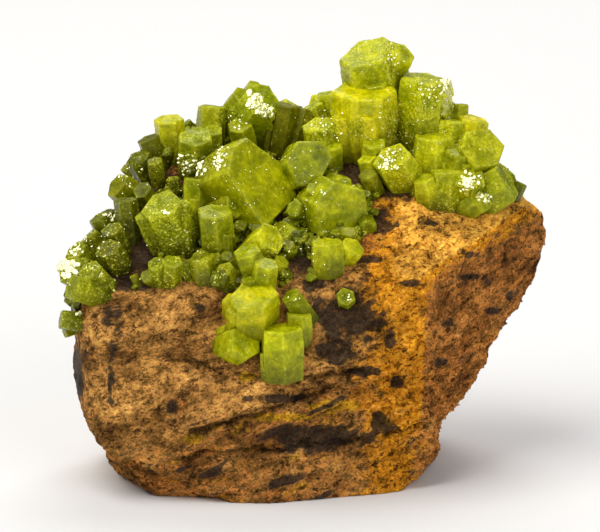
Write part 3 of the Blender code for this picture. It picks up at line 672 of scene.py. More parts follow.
def stone_masks(directions, points, cracked):
    """How strongly each of the stone's colours shows at each point: stains on the front, bands by place, and
    painted light on the tops and the ridge and painted shade on the flank, in hollows and between crystals.
    """
    x = points[:, 0]
    seen_height = points @ SEEN_UP
    wobble = 0.9 * noise(points, "stain rim") + 0.6 * noise(points, "stain jitter")
    spread = noise(points, "stone patches")
    streak = bedding(points)
    in_front = soft_step(-(points[:, 1] - SHOW_FACE_DEPTH) * 0.8)
    right = soft_step((x - ORANGE_FROM + 2 * wobble) * 0.8)
    low = np.clip(1 - (seen_height - 6 - CRACK_SLOPE * x) / 4, 0, 1) * in_front * (1 - 0.6 * right)
    behind = (1 - in_front) * np.clip((spread - 0.12) * 4, 0, 1)
    edge_x, edge_height = np.array(DRUSE_EDGE).T
    shade_under_crystals = soft_step((seen_height - np.interp(x, edge_x, edge_height) + wobble) * 2)
    black = np.maximum(0.92 * in_front * stain(x, seen_height, BLACK_STAINS, wobble), behind)
    # Painted shade: the ground under and between the crystals is darkened nearly to black.
    black = np.maximum(black, 0.9 * shade_under_crystals * np.clip(0.75 + spread, 0, 1))
    black = np.maximum(black, 0.85 * low * np.clip(3.4 * streak - 0.5, 0, 1))
    golden = low * np.clip(-3 * streak - 0.3, 0, 1)
    # The flank is the smooth break down the right, below its edge and right of a ragged line. It is painted in
    # shade: it takes the rust tone and loses most of the orange and the painted light.
    flank_x, flank_height = np.array(FLANK_EDGE).T
    below = np.interp(x, flank_x, flank_height) - seen_height + 0.8 * wobble
    ragged_line = x - FLANK_FROM + 1.6 * wobble + 2.4 * spread + 0.9 * streak
    flank = soft_step(below * 2.5) * soft_step(ragged_line * 1.6)
    # Painted highlight along the ridge between the front and the flank.
    ridge = np.exp(-(((x - RIDGE_AT + wobble) / RIDGE_WIDTH) ** 2)) * (seen_height > 3)
    fresh = 0.45 * np.clip(noise(points, "fresh patches") + 0.1, 0, 1)
    # The crest is the right side's own orange and fresh patches, and the painted highlight of the ridge.
    crest = np.maximum((0.72 + 0.5 * spread) * right, ridge) + fresh
    # Painted light: upward faces at the top right are paler.
    upward = np.clip((rock_normals(directions)[:, 2] - 0.3) * 2.5, 0, 1)
    lit_top_and_ridge = (right * upward * np.clip((x - 8) / 6, 0, 1) * (0.9 + 0.6 * spread) + 0.35 * ridge) * (1 - flank)
    # Painted shade on the flank, and a reddish tone on the lower front.
    lower_front_and_flank_shade = np.maximum(0.75 * flank, 0.5 * low + 0.5 * low * spread)
    sunk = rock_radius(directions) - np.linalg.norm(points - ROCK_CENTRE, axis=1)
    return {
        "black": black,
        "ochre": np.maximum(in_front * stain(x, seen_height, OCHRE_STAINS, wobble), 0.6 * golden),
        # Rust stains and the lower front's reddish tone, and painted shade on the flank.
        "rust_and_flank_shade": np.maximum(in_front * stain(x, seen_height, RUST_STAINS, wobble), lower_front_and_flank_shade),
        "crest": crest * (1 - 0.7 * flank),
        "lit_top_and_ridge": lit_top_and_ridge,
        # Painted shade in the hollows below the plain rock and in the cracks.
        "hollow_shade_and_crumb_tone": np.clip((sunk - 0.05) / 0.5, 0, 1) * 0.75 + 0.3 * np.clip(cracked / 0.3, 0, 1),
    }


def uneven_corners(widths, stretch, rng):
    """Corners of hexagons whose sides keep their 120 degrees but lie uneven distances from the middle.

    Side k faces angle 60 k, and corner k is where sides k and k + 1 meet. Each crystal has a row of corners.
    """
    facing = np.radians(60 * np.arange(SIDES))
    uneven = rng.uniform(-UNEVENNESS, UNEVENNESS, (len(widths), SIDES))
    distance = widths[:, None] / 2 * (1 + uneven)
    after = np.roll(distance, -1, axis=1)
    facing_after = np.roll(facing, -1)
    between = math.sin(math.radians(60))
    across = (distance * np.sin(facing_after) - after * np.sin(facing)) / between
    deep = (after * np.cos(facing) - distance * np.cos(facing_after)) / between
    return np.stack([across * stretch, deep], axis=-1)


def crystal_basis(axis, turn):
    """Three unit vectors as columns: across, deep and along the crystal, turned about its axis."""
    sideways = np.cross(axis, TO_VIEWER)
    sideways /= np.linalg.norm(sideways)
    facing = np.cross(sideways, axis)
    across = math.cos(turn) * sideways - math.sin(turn) * facing
    deep = -math.sin(turn) * sideways - math.cos(turn) * facing
    return np.stack([across, deep, axis], axis=1)


def crystal_points(tip, basis, corners, length, seed, relief):
    """One crystal's surface: its outline carried up the axis, barrel-shaped, with a flat bevelled end.

    The ring between two corners is a straight mix of them. Its size over the length is one less a square of
    the distance from the middle, more so towards the root, and slow noise makes the faces wavy. Past the
    bevel the ring shrinks over the end face, which steps up and down, as the sides step in and out.
    Returns the points and one value a point for each mask.
    """
    spread = np.linalg.norm(corners, axis=1).mean()
    bevel = min(0.15, 0.05 * spread + 0.03)
    whole = length + ROOT_DEPTH
    ends = np.roll(corners, -1, axis=0)
    ring = corners[:, None, :] + SIDE_SHARES[None, :, None] * (ends - corners)[:, None, :]
    ring = ring.reshape(-1, 2)
    up = np.concatenate([np.linspace(0, whole - bevel, SIDE_STEPS), np.full(CAP_STEPS, whole)])
    inset = np.concatenate([np.ones(SIDE_STEPS), np.linspace(1 - bevel / spread, CAP_MIDDLE, CAP_STEPS)])
    from_middle = ((up / whole - 0.5) / 0.5) ** 2
    barrel = 1 - BARREL * from_middle * (up / whole > 0.5)
    barrel -= ROOT_TAPER * BARREL * from_middle * (up / whole <= 0.5)
    scale = barrel * inset
    local = np.concatenate([
        scale[:, None, None] * ring[None, :, :],
        np.broadcast_to((up - whole)[:, None, None], (len(up), RING_POINTS, 1)),
    ], axis=2).reshape(-1, 3)
    local = np.vstack([local, [[0, 0, 0], [0, 0, -whole]]])
    on_cap = np.concatenate([np.repeat(up >= whole, RING_POINTS), [True, False]])
    terrace = gradient_noise(local * np.array([0.9, 0.9, 0]) / max(0.8, spread / 3) + seed * 7.31, 51)
    level = np.round(terrace * TERRACES) / TERRACES * 0.7 + terrace * 0.3
    local[:, 2] += on_cap * relief * level * min(0.22, 0.1 * spread)
    rough = 0.11 * gradient_noise(local / 1.5 + seed * 3.17, 61)
    rough += 0.035 * gradient_noise(local / 0.5 + seed, 71)
    shelf = gradient_noise(local * np.array([0.12, 0.12, 1.1]) + seed * 1.7, 65)
    rough = rough + 0.09 * np.round(shelf * GROWTH_STEPS) / GROWTH_STEPS * ~on_cap
    outward = local * np.array([1, 1, 0])
    outward /= np.linalg.norm(outward, axis=1)[:, None] + 1e-9
    local += np.where(on_cap[:, None], [[0, 0, 1.0]], outward) * (rough * relief)[:, None]
    share = np.minimum(SIDE_SHARES, 1 - SIDE_SHARES)
    side_lengths = np.linalg.norm(ends - corners, axis=1)
    from_corner = (share[None, :] * side_lengths[:, None]).ravel()[None, :] + (1 - inset)[:, None] * spread
    from_rim = np.abs(up - whole)[:, None] + (1 - inset)[:, None] * spread
    near = np.minimum(from_corner, from_rim + np.zeros(RING_POINTS))
    masks = {
        # Painted glow near the corners and the rim of the end.
        "edge": np.append(np.exp(-near / EDGE_WIDTH).ravel(), [0, 0]),
        # Painted shade, from the root to three quarters of the way up.
        "rooted": np.append(np.repeat(np.clip(1 - up / (0.75 * whole), 0, 1), RING_POINTS), [0, 1]),
        "along": np.append(np.repeat(up * ~(up >= whole), RING_POINTS), [0, 0]) + seed % 97,
    }
    return tip + local @ basis.T, masks


def crystal_faces():
    """The faces shared by every crystal: the grid of rings, the end's middle and the buried root's middle."""
    rows = SIDE_STEPS + CAP_STEPS
    quads = grid_faces(rows, RING_POINTS)
    cap = fan_faces((rows - 1) * RING_POINTS, RING_POINTS, rows * RING_POINTS, True)
    root = fan_faces(0, RING_POINTS, rows * RING_POINTS + 1, False)
    return quads, np.vstack([cap, root])


def neighbours(tip, basis, width, length, rng):
    """Smaller crystals grown parallel on the sides of a larger one: tip, width and length of each."""
    count = int(np.interp(width, NEIGHBOUR_WIDTHS, range(len(NEIGHBOUR_WIDTHS))))
    side = rng.permutation(SIDES)[:count]
    size = width * rng.uniform(*NEIGHBOUR_SIZE, count)
    angle = np.radians(60 * side + rng.uniform(*NEIGHBOUR_TURN, count))
    reach = width / 2 - size * rng.uniform(0, 0.2, count)
    lower = np.minimum(rng.uniform(*NEIGHBOUR_DROP, count), 0.75 * length)
    outward = np.cos(angle)[:, None] * basis[:, 0] + np.sin(angle)[:, None] * basis[:, 1]
    tips = tip + outward * reach[:, None] - lower[:, None] * basis[:, 2]
    return [(tips[number], size[number], length - lower[number]) for number in range(count)]


def number_of(text):
    """A small whole number from a name, the same on every run."""
    total = 0
    for letter in text:
        total = (total * 31 + ord(letter)) % 99991
    return total


def crystal_cluster(name, rows, material):
    """One group's piece: every crystal and its smaller neighbours, joined, with its look as point values."""
    quads, fans = crystal_faces()
    points, faces, triangles = [], [], []
    masks = {key: [] for key in CRYSTAL_MASKS}
    start = 0
    for index, row in enumerate(rows):
        x, seen_height, width, length, lean, tilt, turn = row[:7]
        outline = row[7] if len(row) > 7 else 1.0
        depth = row[8] if len(row) > 8 else None
        axis = crystal_axis(math.radians(lean), math.radians(tilt))
        tip = tip_of(x, seen_height, depth, length, axis)
        basis = crystal_basis(axis, math.radians(turn))
        seed = number_of(name) + index
        rng = np.random.default_rng(seed)
        look = CRYSTAL_LOOKS.get(name, {}).get(index)
        if look is None:
            look = np.array(GROUP_LOOKS[name]) + rng.uniform(-1, 1, 3) * LOOK_SPREAD
        if isinstance(outline, tuple):
            members = [(tip, np.array(outline), length)]
        else:
            members = [(tip, uneven_corners(np.array([width]), outline, rng)[0], length)]
        members += [
            (place, uneven_corners(np.array([size]), 1.0, rng)[0], long)
            for place, size, long in neighbours(tip, basis, width, length, rng)
        ]
        for number, (place, corners, long) in enumerate(members):
            relief = 0.6 if number else 1.0
            made, found = crystal_points(place, basis, corners, long, seed * 13 + number, relief)
            found["tint"] = np.full(len(made), look[0] + (0.12 * rng.uniform(-1, 1) if number else 0))
            found["shade"] = np.full(len(made), look[1] + (0.08 if number else 0))
            found["sugar"] = np.full(len(made), look[2])
            for key, values in found.items():
                masks[key].append(values)
            points.append(made)
            faces.append(quads + start)
            triangles.append(fans + start)
            start += len(made)
    points = np.vstack(points)
    faces, triangles = np.vstack(faces), np.vstack(triangles)
    masks = {key: np.concatenate(values) for key, values in masks.items()}
    sugary = stain(points[:, 0], points @ SEEN_UP, SUGAR_SPOTS, np.zeros(len(points)))
    masks["sugar"] = np.clip(np.maximum(masks["sugar"], sugary * (points[:, 1] < SUGAR_DEPTH)), 0, 1)
    return new_piece(name + "_crystals", points, faces, triangles, masks, material, CRYSTAL_SMOOTH_ANGLE)


def druse_ground(points, normals):
    """Which places carry small crystals: above the edge line on the front, and over the top to the back."""
    edge_x, edge_height = np.array(DRUSE_EDGE).T
    limit = np.interp(points[:, 0], edge_x, edge_height) + 0.9 * noise(points, "druse edge")
    seen_height = points @ SEEN_UP
    upward = normals[:, 2] - 0.35 * normals[:, 1] - 0.25 * normals[:, 0]
    bare = stain(points[:, 0], seen_height, BARE_SPOTS, np.zeros(len(points))) > 0.5
    bare &= points[:, 1] < SHOW_FACE_DEPTH
    return (seen_height > limit) & (points[:, 1] < DRUSE_DEPTH) & (upward > DRUSE_UPWARD) & ~bare


def small_prisms(places, axes, turns, widths, lengths, rng, sunk):
    """Many small uneven prisms: a buried ring, a shoulder ring and a narrower tip ring, with closed ends."""
    corners = uneven_corners(widths, 1.0, rng)
    aside = unit(np.cross(axes, [0.21, 0.45, 0.87]))
    above = np.cross(axes, aside)
    first = np.cos(turns)[:, None] * aside + np.sin(turns)[:, None] * above
    second = np.cross(axes, first)
    outward = corners[..., :1] * first[:, None, :] + corners[..., 1:] * second[:, None, :]
    points = [
        places[:, None, :] + outward * scale + axes[:, None, :] * (lengths * rise)[:, None, None]
        for scale, rise in ((1.0, -sunk), (1.0, 0.92), (0.84, 1.0))
    ]
    points.append((places + axes * lengths[:, None])[:, None, :])
    points.append((places - axes * (lengths * sunk)[:, None])[:, None, :])
    points = np.concatenate(points, axis=1).reshape(-1, 3)
    # The middles of the two ends come last, the tip's and then the root's.
    tip_fan = fan_faces(2 * SIDES, SIDES, 3 * SIDES, True)
    root_fan = fan_faces(0, SIDES, 3 * SIDES + 1, False)
    offset = (np.arange(len(places)) * SMALL_POINTS)[:, None, None]
    quads = grid_faces(3, SIDES)[None] + offset
    triangles = np.vstack([tip_fan, root_fan])[None] + offset
    return points, quads.reshape(-1, 4), triangles.reshape(-1, 3)


def scatter(count, seed):
    """Evenly spread directions on a sphere, a golden turn apart, with a little disorder."""
    rng = np.random.default_rng(seed)
    number = np.arange(count) + 0.5
    polar = np.arccos(1 - 2 * number / count)
    turn = math.pi * (1 + 5**0.5) * number
    directions = np.stack([np.sin(polar) * np.cos(turn), np.sin(polar) * np.sin(turn), np.cos(polar)], axis=1)
    return unit(directions + rng.normal(0, STRAYING, directions.shape)), rng


def add_node(tree, kind, settings=None, inputs=None):
    """Adds a shader node, sets its properties, and sets or links its inputs."""
    node = tree.nodes.new(kind)
    for key, value in (settings or {}).items():
        setattr(node, key, value)
    for key, value in (inputs or {}).items():
        if isinstance(value, bpy.types.NodeSocket):
            tree.links.new(value, node.inputs[key])
        else:
            node.inputs[key].default_value = value
    return node


def maths(tree, operation, *values, clamp=False):
    """The result of a sum on sockets or numbers."""
    settings = {"operation": operation, "use_clamp": clamp}
    return add_node(tree, "ShaderNodeMath", settings, dict(enumerate(values))).outputs[0]


def vector_maths(tree, operation, inputs):
    """The result of a sum on vectors."""
    return add_node(tree, "ShaderNodeVectorMath", {"operation": operation}, inputs).outputs["Vector"]


def carried(tree, value, source, target, smooth=False):
    """A value carried from one range to another and held inside it, straight or on an S curve."""
    settings = {"interpolation_type": "SMOOTHSTEP" if smooth else "LINEAR"}
    inputs = dict(zip(("From Min", "From Max", "To Min", "To Max"), source + target), Value=value)
    return add_node(tree, "ShaderNodeMapRange", settings, inputs).outputs["Result"]


def blended(tree, share, under, over, blend="MIX"):
    """One colour laid over another, or multiplied by it."""
    settings = {"data_type": "RGBA", "blend_type": blend}
    inputs = {"Factor": share, "A": under, "B": over}
    return add_node(tree, "ShaderNodeMix", settings, inputs).outputs["Result"]


def cloudy(tree, place, scale, detail, roughness=0.5, distortion=0.0):
    """Fractal noise, whose scale is in patches to the metre."""
    inputs = {"Vector": place, "Scale": scale, "Detail": detail, "Roughness": roughness}
    inputs["Distortion"] = distortion
    return add_node(tree, "ShaderNodeTexNoise", inputs=inputs).outputs["Fac"]


def bumped(tree, height, strength, distance, normal=None):
    """The normal of a surface raised by a height, on top of another normal where one is given."""
    inputs = {"Height": height, "Strength": strength, "Distance": distance}
    if normal is not None:
        inputs["Normal"] = normal
    return add_node(tree, "ShaderNodeBump", inputs=inputs).outputs["Normal"]


def blank_material(name):
    """A material with an empty node tree, and that tree."""
    material = bpy.data.materials.new(name)
    material.use_nodes = True
    material.node_tree.nodes.clear()
    return material, material.node_tree


def mask_values(tree, keys):
    """The piece's own values for each mask."""
    return {
        key: add_node(tree, "ShaderNodeAttribute", {"attribute_name": key}).outputs["Fac"] for key in keys
    }


def surfaced(tree, inputs):
    """Ends the tree with one principled shader."""
    shader = add_node(tree, "ShaderNodeBsdfPrincipled", inputs=inputs)
    add_node(tree, "ShaderNodeOutputMaterial", inputs={"Surface": shader.outputs["BSDF"]})


def pyromorphite(settings, name, gloss, sheen):
    """Pyromorphite, a lead chlorophosphate: resinous prisms that glow yellow where they are thin.

    The eye sees a waxy body with cloudy zones, fine growth lines across the sides, bright edges, and sugary
    patches where hundreds of tiny facets catch the light one by one. The glow of the edges, the glints in the
    sugary patches and the shade at the roots are painted into the colour.
    """
    material, tree = blank_material(name)
    place = add_node(tree, "ShaderNodeTexCoord").outputs["Object"]
    masks = mask_values(tree, CRYSTAL_MASKS)
    # Cloudy zones are about 1.5 mm across, etching 0.4 mm, and sugary facets 0.16 mm.
    cloud = cloudy(tree, place, 650.0, 4.0)
    speck = cloudy(tree, place, 2400.0, 5.0, 0.65)
    facet = add_node(tree, "ShaderNodeTexVoronoi", inputs={"Vector": place, "Scale": 6200.0}).outputs["Color"]
    # Growth lines lie about 0.4 mm apart, with finer ones between. The mask counts millimetres up the side.
    up_crystal = {"W": masks["along"], "Scale": 2.6, "Detail": 3.0, "Roughness": 0.7}
    lines = add_node(tree, "ShaderNodeTexNoise", {"noise_dimensions": "1D"}, up_crystal).outputs["Fac"]
    drift = maths(tree, "MULTIPLY_ADD", cloud, 0.9, -0.45)
    banded = maths(tree, "MULTIPLY_ADD", lines, 0.3, -0.15)
    uneven_tint = maths(tree, "ADD", maths(tree, "ADD", drift, banded), masks["tint"], clamp=True)
    body = add_node(tree, "ShaderNodeValToRGB", inputs={"Fac": uneven_tint})
    ramp = body.color_ramp
    ramp.elements[0].color = settings.olive_tone
    ramp.elements[1].color = settings.amber_tone
    ramp.elements.new(0.42).color = settings.green_tone
    ramp.elements.new(0.8).color = settings.lemon_tone
    # Painted glow: thin edges pass light, so the colour there is mixed towards a light edge tone. Painted
    # shade: the colour darkens towards the roots.
    rim = maths(tree, "MULTIPLY", masks["edge"], 0.5, clamp=True)
    colour = blended(tree, rim, body.outputs["Color"], settings.edge_glow_tone)
    # Painted shade towards the roots.
    root_shade = maths(tree, "MULTIPLY", masks["rooted"], 0.74, clamp=True)
    colour = blended(tree, root_shade, colour, settings.root_shade_tone)
    # The shade mask darkens the colour, partly for darker crystals and partly as painted shade.
    dark = carried(tree, masks["shade"], (0.0, 1.0), (1.0, 0.12))
    colour = blended(tree, 1.0, colour, dark, "MULTIPLY")
    # The colour is mottled with the etching, lighter where it stands higher, and cloudy zones lie under it.
    etch_mottling = carried(tree, speck, (0.3, 0.7), (0.68, 1.34))
    depth = carried(tree, cloud, (0.34, 0.66), (0.82, 1.2))
    colour = blended(tree, 1.0, colour, maths(tree, "MULTIPLY", etch_mottling, depth), "MULTIPLY")
    # A sugary patch starts where the mask, broken up by the cloud, passes its threshold. Painted glints: there
    # one facet in eight is lightened towards a bright glint tone, and a few outside the patches too.
    grown = maths(tree, "MULTIPLY", masks["sugar"], cloud)
    patch = carried(tree, grown, (0.1, 0.34), (0.0, 1.0), smooth=True)
    channels = add_node(tree, "ShaderNodeSeparateColor", inputs={"Color": facet}).outputs
    painted_glint = carried(tree, channels["Red"], (0.8, 0.95), (0.0, 0.85), smooth=True)
    stray_painted_glint = carried(tree, channels["Green"], (0.96, 1.0), (0.0, 0.4), smooth=True)
    painted_sparkle = maths(tree, "MAXIMUM", maths(tree, "MULTIPLY", painted_glint, patch), stray_painted_glint)
    colour = blended(tree, painted_sparkle, colour, settings.glint_paint_tone)
    # In a patch each facet tips the surface its own way. Growth lines and etching lie on top of that.
    centred = vector_maths(tree, "SUBTRACT", {0: facet, 1: (0.5, 0.5, 0.5)})
    tipped = vector_maths(tree, "SCALE", {"Vector": centred, "Scale": maths(tree, "MULTIPLY", patch, 1.3)})
    facing = add_node(tree, "ShaderNodeNewGeometry").outputs["Normal"]
    turned = vector_maths(tree, "ADD", {0: facing, 1: tipped})
    grooved = bumped(tree, lines, 0.3, 0.0001, vector_maths(tree, "NORMALIZE", {0: turned}))
    surfaced(tree, {
        "Base Color": colour,
        "Roughness": carried(tree, speck, (0.3, 0.7), (gloss, gloss + 0.18)),
        "IOR": 2.05,
        "Specular IOR Level": sheen,
        "Normal": bumped(tree, speck, 0.5, 0.00012, grooved),
        "Subsurface Weight": 0.35,
        "Subsurface Radius": (1.0, 0.95, 0.1),
        "Subsurface Scale": settings.glow_depth,
    })
    return material


def limonite(settings):
    """Limonite, an earthy iron oxide: porous, matt and brown, and sandy to the touch.

    The eye sees a salt-and-pepper grain of 0.2 to 0.5 mm, orange crests where it is fresh, dark pits, and
    black patches of manganese oxide. In the colour, painted shade darkens the pits, hollows and cracks, the
    ground between the crystals and the right flank, and painted light brightens the upward faces at the top
    right and the ridge.
    """
    material, tree = blank_material("limonite stone")
    place = add_node(tree, "ShaderNodeTexCoord").outputs["Object"]
    masks = mask_values(tree, STONE_MASKS)
    # All but the grains is drawn out along the beds, which rise to the right. Patches are 5 mm across, the
    # stone is uneven from 1.2 mm down, pits are up to 0.9 mm, and grains of 0.2 mm have a colour each.
    dip = {"Vector": place, "Rotation": (0, -math.atan(CRACK_SLOPE), 0), "Scale": (1.0, 1.0, 0.6)}
    along_beds = add_node(tree, "ShaderNodeMapping", {"vector_type": "TEXTURE"}, dip).outputs["Vector"]
    patch = cloudy(tree, along_beds, 200.0, 8.0, 0.68)
    sand = cloudy(tree, along_beds, 800.0, 8.0, 0.72)
    pitted = cloudy(tree, along_beds, 1100.0, 6.0, 0.66, 0.8)
    grain = add_node(tree, "ShaderNodeTexVoronoi", inputs={"Vector": place, "Scale": 5600.0})
    base = add_node(tree, "ShaderNodeValToRGB", inputs={"Fac": patch})
    darker, lighter = base.color_ramp.elements
    darker.position = 0.32
    darker.color = settings.umber_tone
    lighter.position = 0.68
    lighter.color = settings.tan_tone
    colour = base.outputs["Color"]
    # Each tone is laid over where its mask, broken up by sand, passes one half.
    for key, over, spread, amount in (
        ("crest", settings.orange_tone, 1.6, 0.92), ("lit_top_and_ridge", settings.lit_top_tone, 1.2, 0.95),
        ("rust_and_flank_shade", settings.rust_and_flank_shade_tone, 2.4, 0.75), ("ochre", settings.ochre_tone, 2.4, 0.8),
        ("black", settings.black_tone, 2.6, 0.92),
    ):
        pushed = maths(tree, "ADD", masks[key], maths(tree, "MULTIPLY_ADD", sand, spread, -spread / 2))
        colour = blended(tree, carried(tree, pushed, (0.25, 0.75), (0.0, amount), smooth=True), colour, over)
    # Each grain is darker or lighter than its neighbours, and so are the patches. The colour is also darker
    # where the sand bump is lower, which is painted shade in its hollows.
    single = add_node(tree, "ShaderNodeSeparateColor", inputs={"Color": grain.outputs["Color"]})
    uneven = maths(tree, "MULTIPLY_ADD", sand, 5.0, -2.25)
    mottled = maths(tree, "MULTIPLY_ADD", single.outputs["Red"], 1.7, uneven)
    level = carried(tree, mottled, (-0.5, 2.7), (0.15, 3.1))
    broad = carried(tree, patch, (0.36, 0.64), (0.55, 1.5))
    colour = blended(tree, 1.0, colour, maths(tree, "MULTIPLY", level, broad), "MULTIPLY")
    # Painted shade: the colour darkens in the pits, where the pitting bump is lowest, and in the rock's
    # hollows and cracks. The manganese stains have a dull shine.
    deep = carried(tree, pitted, (0.47, 0.36), (0.0, 0.85), smooth=True)
    colour = blended(tree, deep, colour, settings.pit_shade_tone)
    hollow_shade = carried(tree, masks["hollow_shade_and_crumb_tone"], (0.0, 1.0), (1.0, 0.2))
    colour = blended(tree, 1.0, colour, hollow_shade, "MULTIPLY")
    worn = bumped(tree, pitted, 1.0, 0.0012)
    fine = bumped(tree, sand, 1.0, 0.0012, worn)
    surfaced(tree, {
        "Base Color": colour,
        "Roughness": carried(tree, masks["black"], (0.0, 1.0), (0.9, 0.4)),
        "Specular IOR Level": 0.12,
        "Normal": bumped(tree, grain.outputs["Distance"], 0.5, 0.00015, fine),
    })
    return material


def studio_paper(settings):
    """Matt white card, rolled from floor to wall: an even pale ground with no seam."""
    material, tree = blank_material("studio paper")
    surfaced(tree, {"Base Color": settings.paper_tone, "Roughness": 0.9})
    return material


def tone(name, description, code):
    """A colour property with its default from a hex code."""
    return bpy.props.FloatVectorProperty(
        name=name, description=description, subtype="COLOR", size=4, min=0, max=1, default=linear(code)
    )


def length_property(name, description, default, least):
    """A length property, in metres."""
    return bpy.props.FloatProperty(
        name=name, description=description, default=default, min=least, subtype="DISTANCE", unit="LENGTH"
    )


def power_property(name, description, default, unit="POWER"):
    """A property for how strong a light is, in watts unless it says otherwise."""
    return bpy.props.FloatProperty(name=name, description=description, default=default, min=0, unit=unit)


def count_property(name, description, default, least):
    """A property for how many."""
    return bpy.props.IntProperty(name=name, description=description, default=default, min=least)


class SPECIMEN_PG_rock(bpy.types.PropertyGroup):
    rows: count_property("Rows", "Rings of faces from top to base", 300, 24)
    columns: count_property("Columns", "Faces round the rock", 330, 24)
    grit_count: count_property("Grit", "How many places the crumbs are tried at", 24000, 0)
    umber_tone: tone("Umber", "The darker of the plain browns", "#7e5222")
    tan_tone: tone("Tan", "The lighter of the plain browns", "#d69c50")
    # Its own orange, and a painted highlight along the ridge.
    orange_tone: tone("Orange", "Fresh breaks along the crests", "#ee9c1c")
    # Painted light on the upward faces at the top right and along the ridge.
    lit_top_tone: tone("Pale", "The weathered band at the top right", "#fab648")
    # Also painted shade on the right flank.
    rust_and_flank_shade_tone: tone("Rust", "Reddish patches", "#ae6c30")
    ochre_tone: tone("Ochre", "Yellow earthy spots", "#cc9a1c")
    # Painted shade in the pits.
    pit_shade_tone: tone("Pit", "Dark pits between the grains", "#3a1f0a")
    # Also painted shade on the ground between the crystals.
    black_tone: tone("Black", "Manganese stains", "#2c2620")


class SPECIMEN_PG_crystals(bpy.types.PropertyGroup):
    glow_depth: length_property("Glow depth", "How far light runs inside a crystal", 0.0005, 0)
    olive_tone: tone("Olive", "The greenest crystals", "#7c8a04")
    green_tone: tone("Green", "The usual body colour", "#a2aa04")
    lemon_tone: tone("Lemon", "The yellow crystals", "#cac806")
    amber_tone: tone("Amber", "The yellowest crystals", "#d8ca08")
    # Painted glow of thin edges.
    edge_glow_tone: tone("Edge", "Thin edges", "#d6d82c")
    # Painted shade at the roots.
    root_shade_tone: tone("Root", "Stained roots", "#383004")
    # Painted glints on single facets.
    glint_paint_tone: tone("Fleck", "Tiny facets in the sugary patches", "#f2f256")
    druse_count: count_property("Druse", "How many places the small crystals are tried at", 13000, 0)


class SPECIMEN_PG_stage(bpy.types.PropertyGroup):
    paper_tone: tone("Paper", "The floor and wall", "#ebebea")
    camera_distance: length_property("Camera distance", "From the camera to the specimen", 0.8, 0.1)
    field_width: length_property("Field width", "What the camera sees from side to side", 0.06, 0.01)
    key_power: power_property("Key", "Power of the main light", 2.35)
    fill_power: power_property("Fill", "Power of the light that opens the shadows", 1.15)
    rim_power: power_property("Rim", "Power of the light behind", 1.3)
    sky_strength: power_property("Sky", "Strength of the even light", 0.22, "NONE")


class SPECIMEN_OT_rock(bpy.types.Operator):
    """Builds the limonite block with its cracks, grain and stains"""

    bl_idname = "specimen.rock"
    bl_label = "Limonite block"

    def execute(self, context):
        settings = context.scene.specimen_rock
        directions = rock_grid(settings.rows, settings.columns)
        count = len(directions)
        directions = np.vstack([directions, [[0, 0, 1.0], [0, 0, -1.0]]])
        points, cracked = rock_surface(directions)
        masks = stone_masks(directions, points, cracked)
        quads = grid_faces(settings.rows, settings.columns)
        top = fan_faces(0, settings.columns, count, False)
        base = fan_faces((settings.rows - 1) * settings.columns, settings.columns, count + 1, True)
        fans = np.vstack([top, base])
        stone = limonite(settings)
        piece = new_piece("limonite_block", points, quads, fans, masks, stone, ROCK_SMOOTH_ANGLE)
        outward_faces(piece)
        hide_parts("matrix_rock")
        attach(piece, BODY)
        return {"FINISHED"}


class SPECIMEN_OT_grit(bpy.types.Operator):
    """Sticks loose crumbs of limonite to the block, thickest on its broken right and lower sides"""

    bl_idname = "specimen.grit"
    bl_label = "Limonite grit"

    def execute(self, context):
        directions, rng = scatter(context.scene.specimen_rock.grit_count, GRIT_SEED)
        points, cracked = rock_surface(directions)
        masks = stone_masks(directions, points, cracked)
        right = soft_step((points[:, 0] - 5) * 0.7)
        low = soft_step(-(points @ SEEN_UP - 8 - CRACK_SLOPE * points[:, 0]))
        thick = 0.12 + 0.5 * right + 0.3 * low + 0.7 * noise(points, "grit patches") - 0.4 * masks["black"]
        keep = (rng.uniform(0, 1, len(points)) < thick) & (points[:, 2] > 0.6)
        points = points[keep]
        masks = {key: values[keep] for key, values in masks.items()}
        sizes = 0.12 + 0.26 * rng.beta(1.2, 3, len(points))
        reach = sizes[:, None, None] * rng.uniform(0.5, 1.3, (len(points), len(CRUMB_CORNERS), 1))
        turns = np.linalg.qr(rng.normal(0, 1, (len(points), 3, 3)))[0]
        turns *= np.sign(np.linalg.det(turns))[:, None, None]
        sunk = points - 0.35 * sizes[:, None] * directions[keep]
        shape = (sunk[:, None, :] + (CRUMB_CORNERS[None] * reach) @ turns).reshape(-1, 3)
        faces = CRUMB_FACES[None] + (np.arange(len(points)) * len(CRUMB_CORNERS))[:, None, None]
        # For a crumb this mask holds its own random darkness, not shade.
        masks["hollow_shade_and_crumb_tone"] = np.clip(rng.normal(0.1, 0.3, len(points)), 0, 0.9)
        masks = {key: np.repeat(values, len(CRUMB_CORNERS)) for key, values in masks.items()}
        stone = bpy.data.materials["limonite stone"]
        piece = new_piece("limonite_grit", shape, np.zeros((0, 4), int), faces.reshape(-1, 3), masks, stone)
        outward_faces(piece)
        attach(piece, BODY)
        return {"FINISHED"}


class SPECIMEN_OT_crystals(bpy.types.Operator):
    """Builds each group of pyromorphite prisms in place of its solids"""

    bl_idname = "specimen.crystals"
    bl_label = "Pyromorphite prisms"

    def execute(self, context):
        material = pyromorphite(context.scene.specimen_crystals, "pyromorphite crystal", *CRYSTAL_GLOSS)
        for name, rows in CRYSTALS.items():
            piece = crystal_cluster(name, rows, material)
            outward_faces(piece)
            # A group's solids have its name, with a number after it where there are more than one.
            solids = [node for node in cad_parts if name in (node, node[:-2], node[:-3])]
            if not solids:
                raise RuntimeError(f"no solid is named {name}")
            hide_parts(*solids)
            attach(piece, BODY)
        return {"FINISHED"}


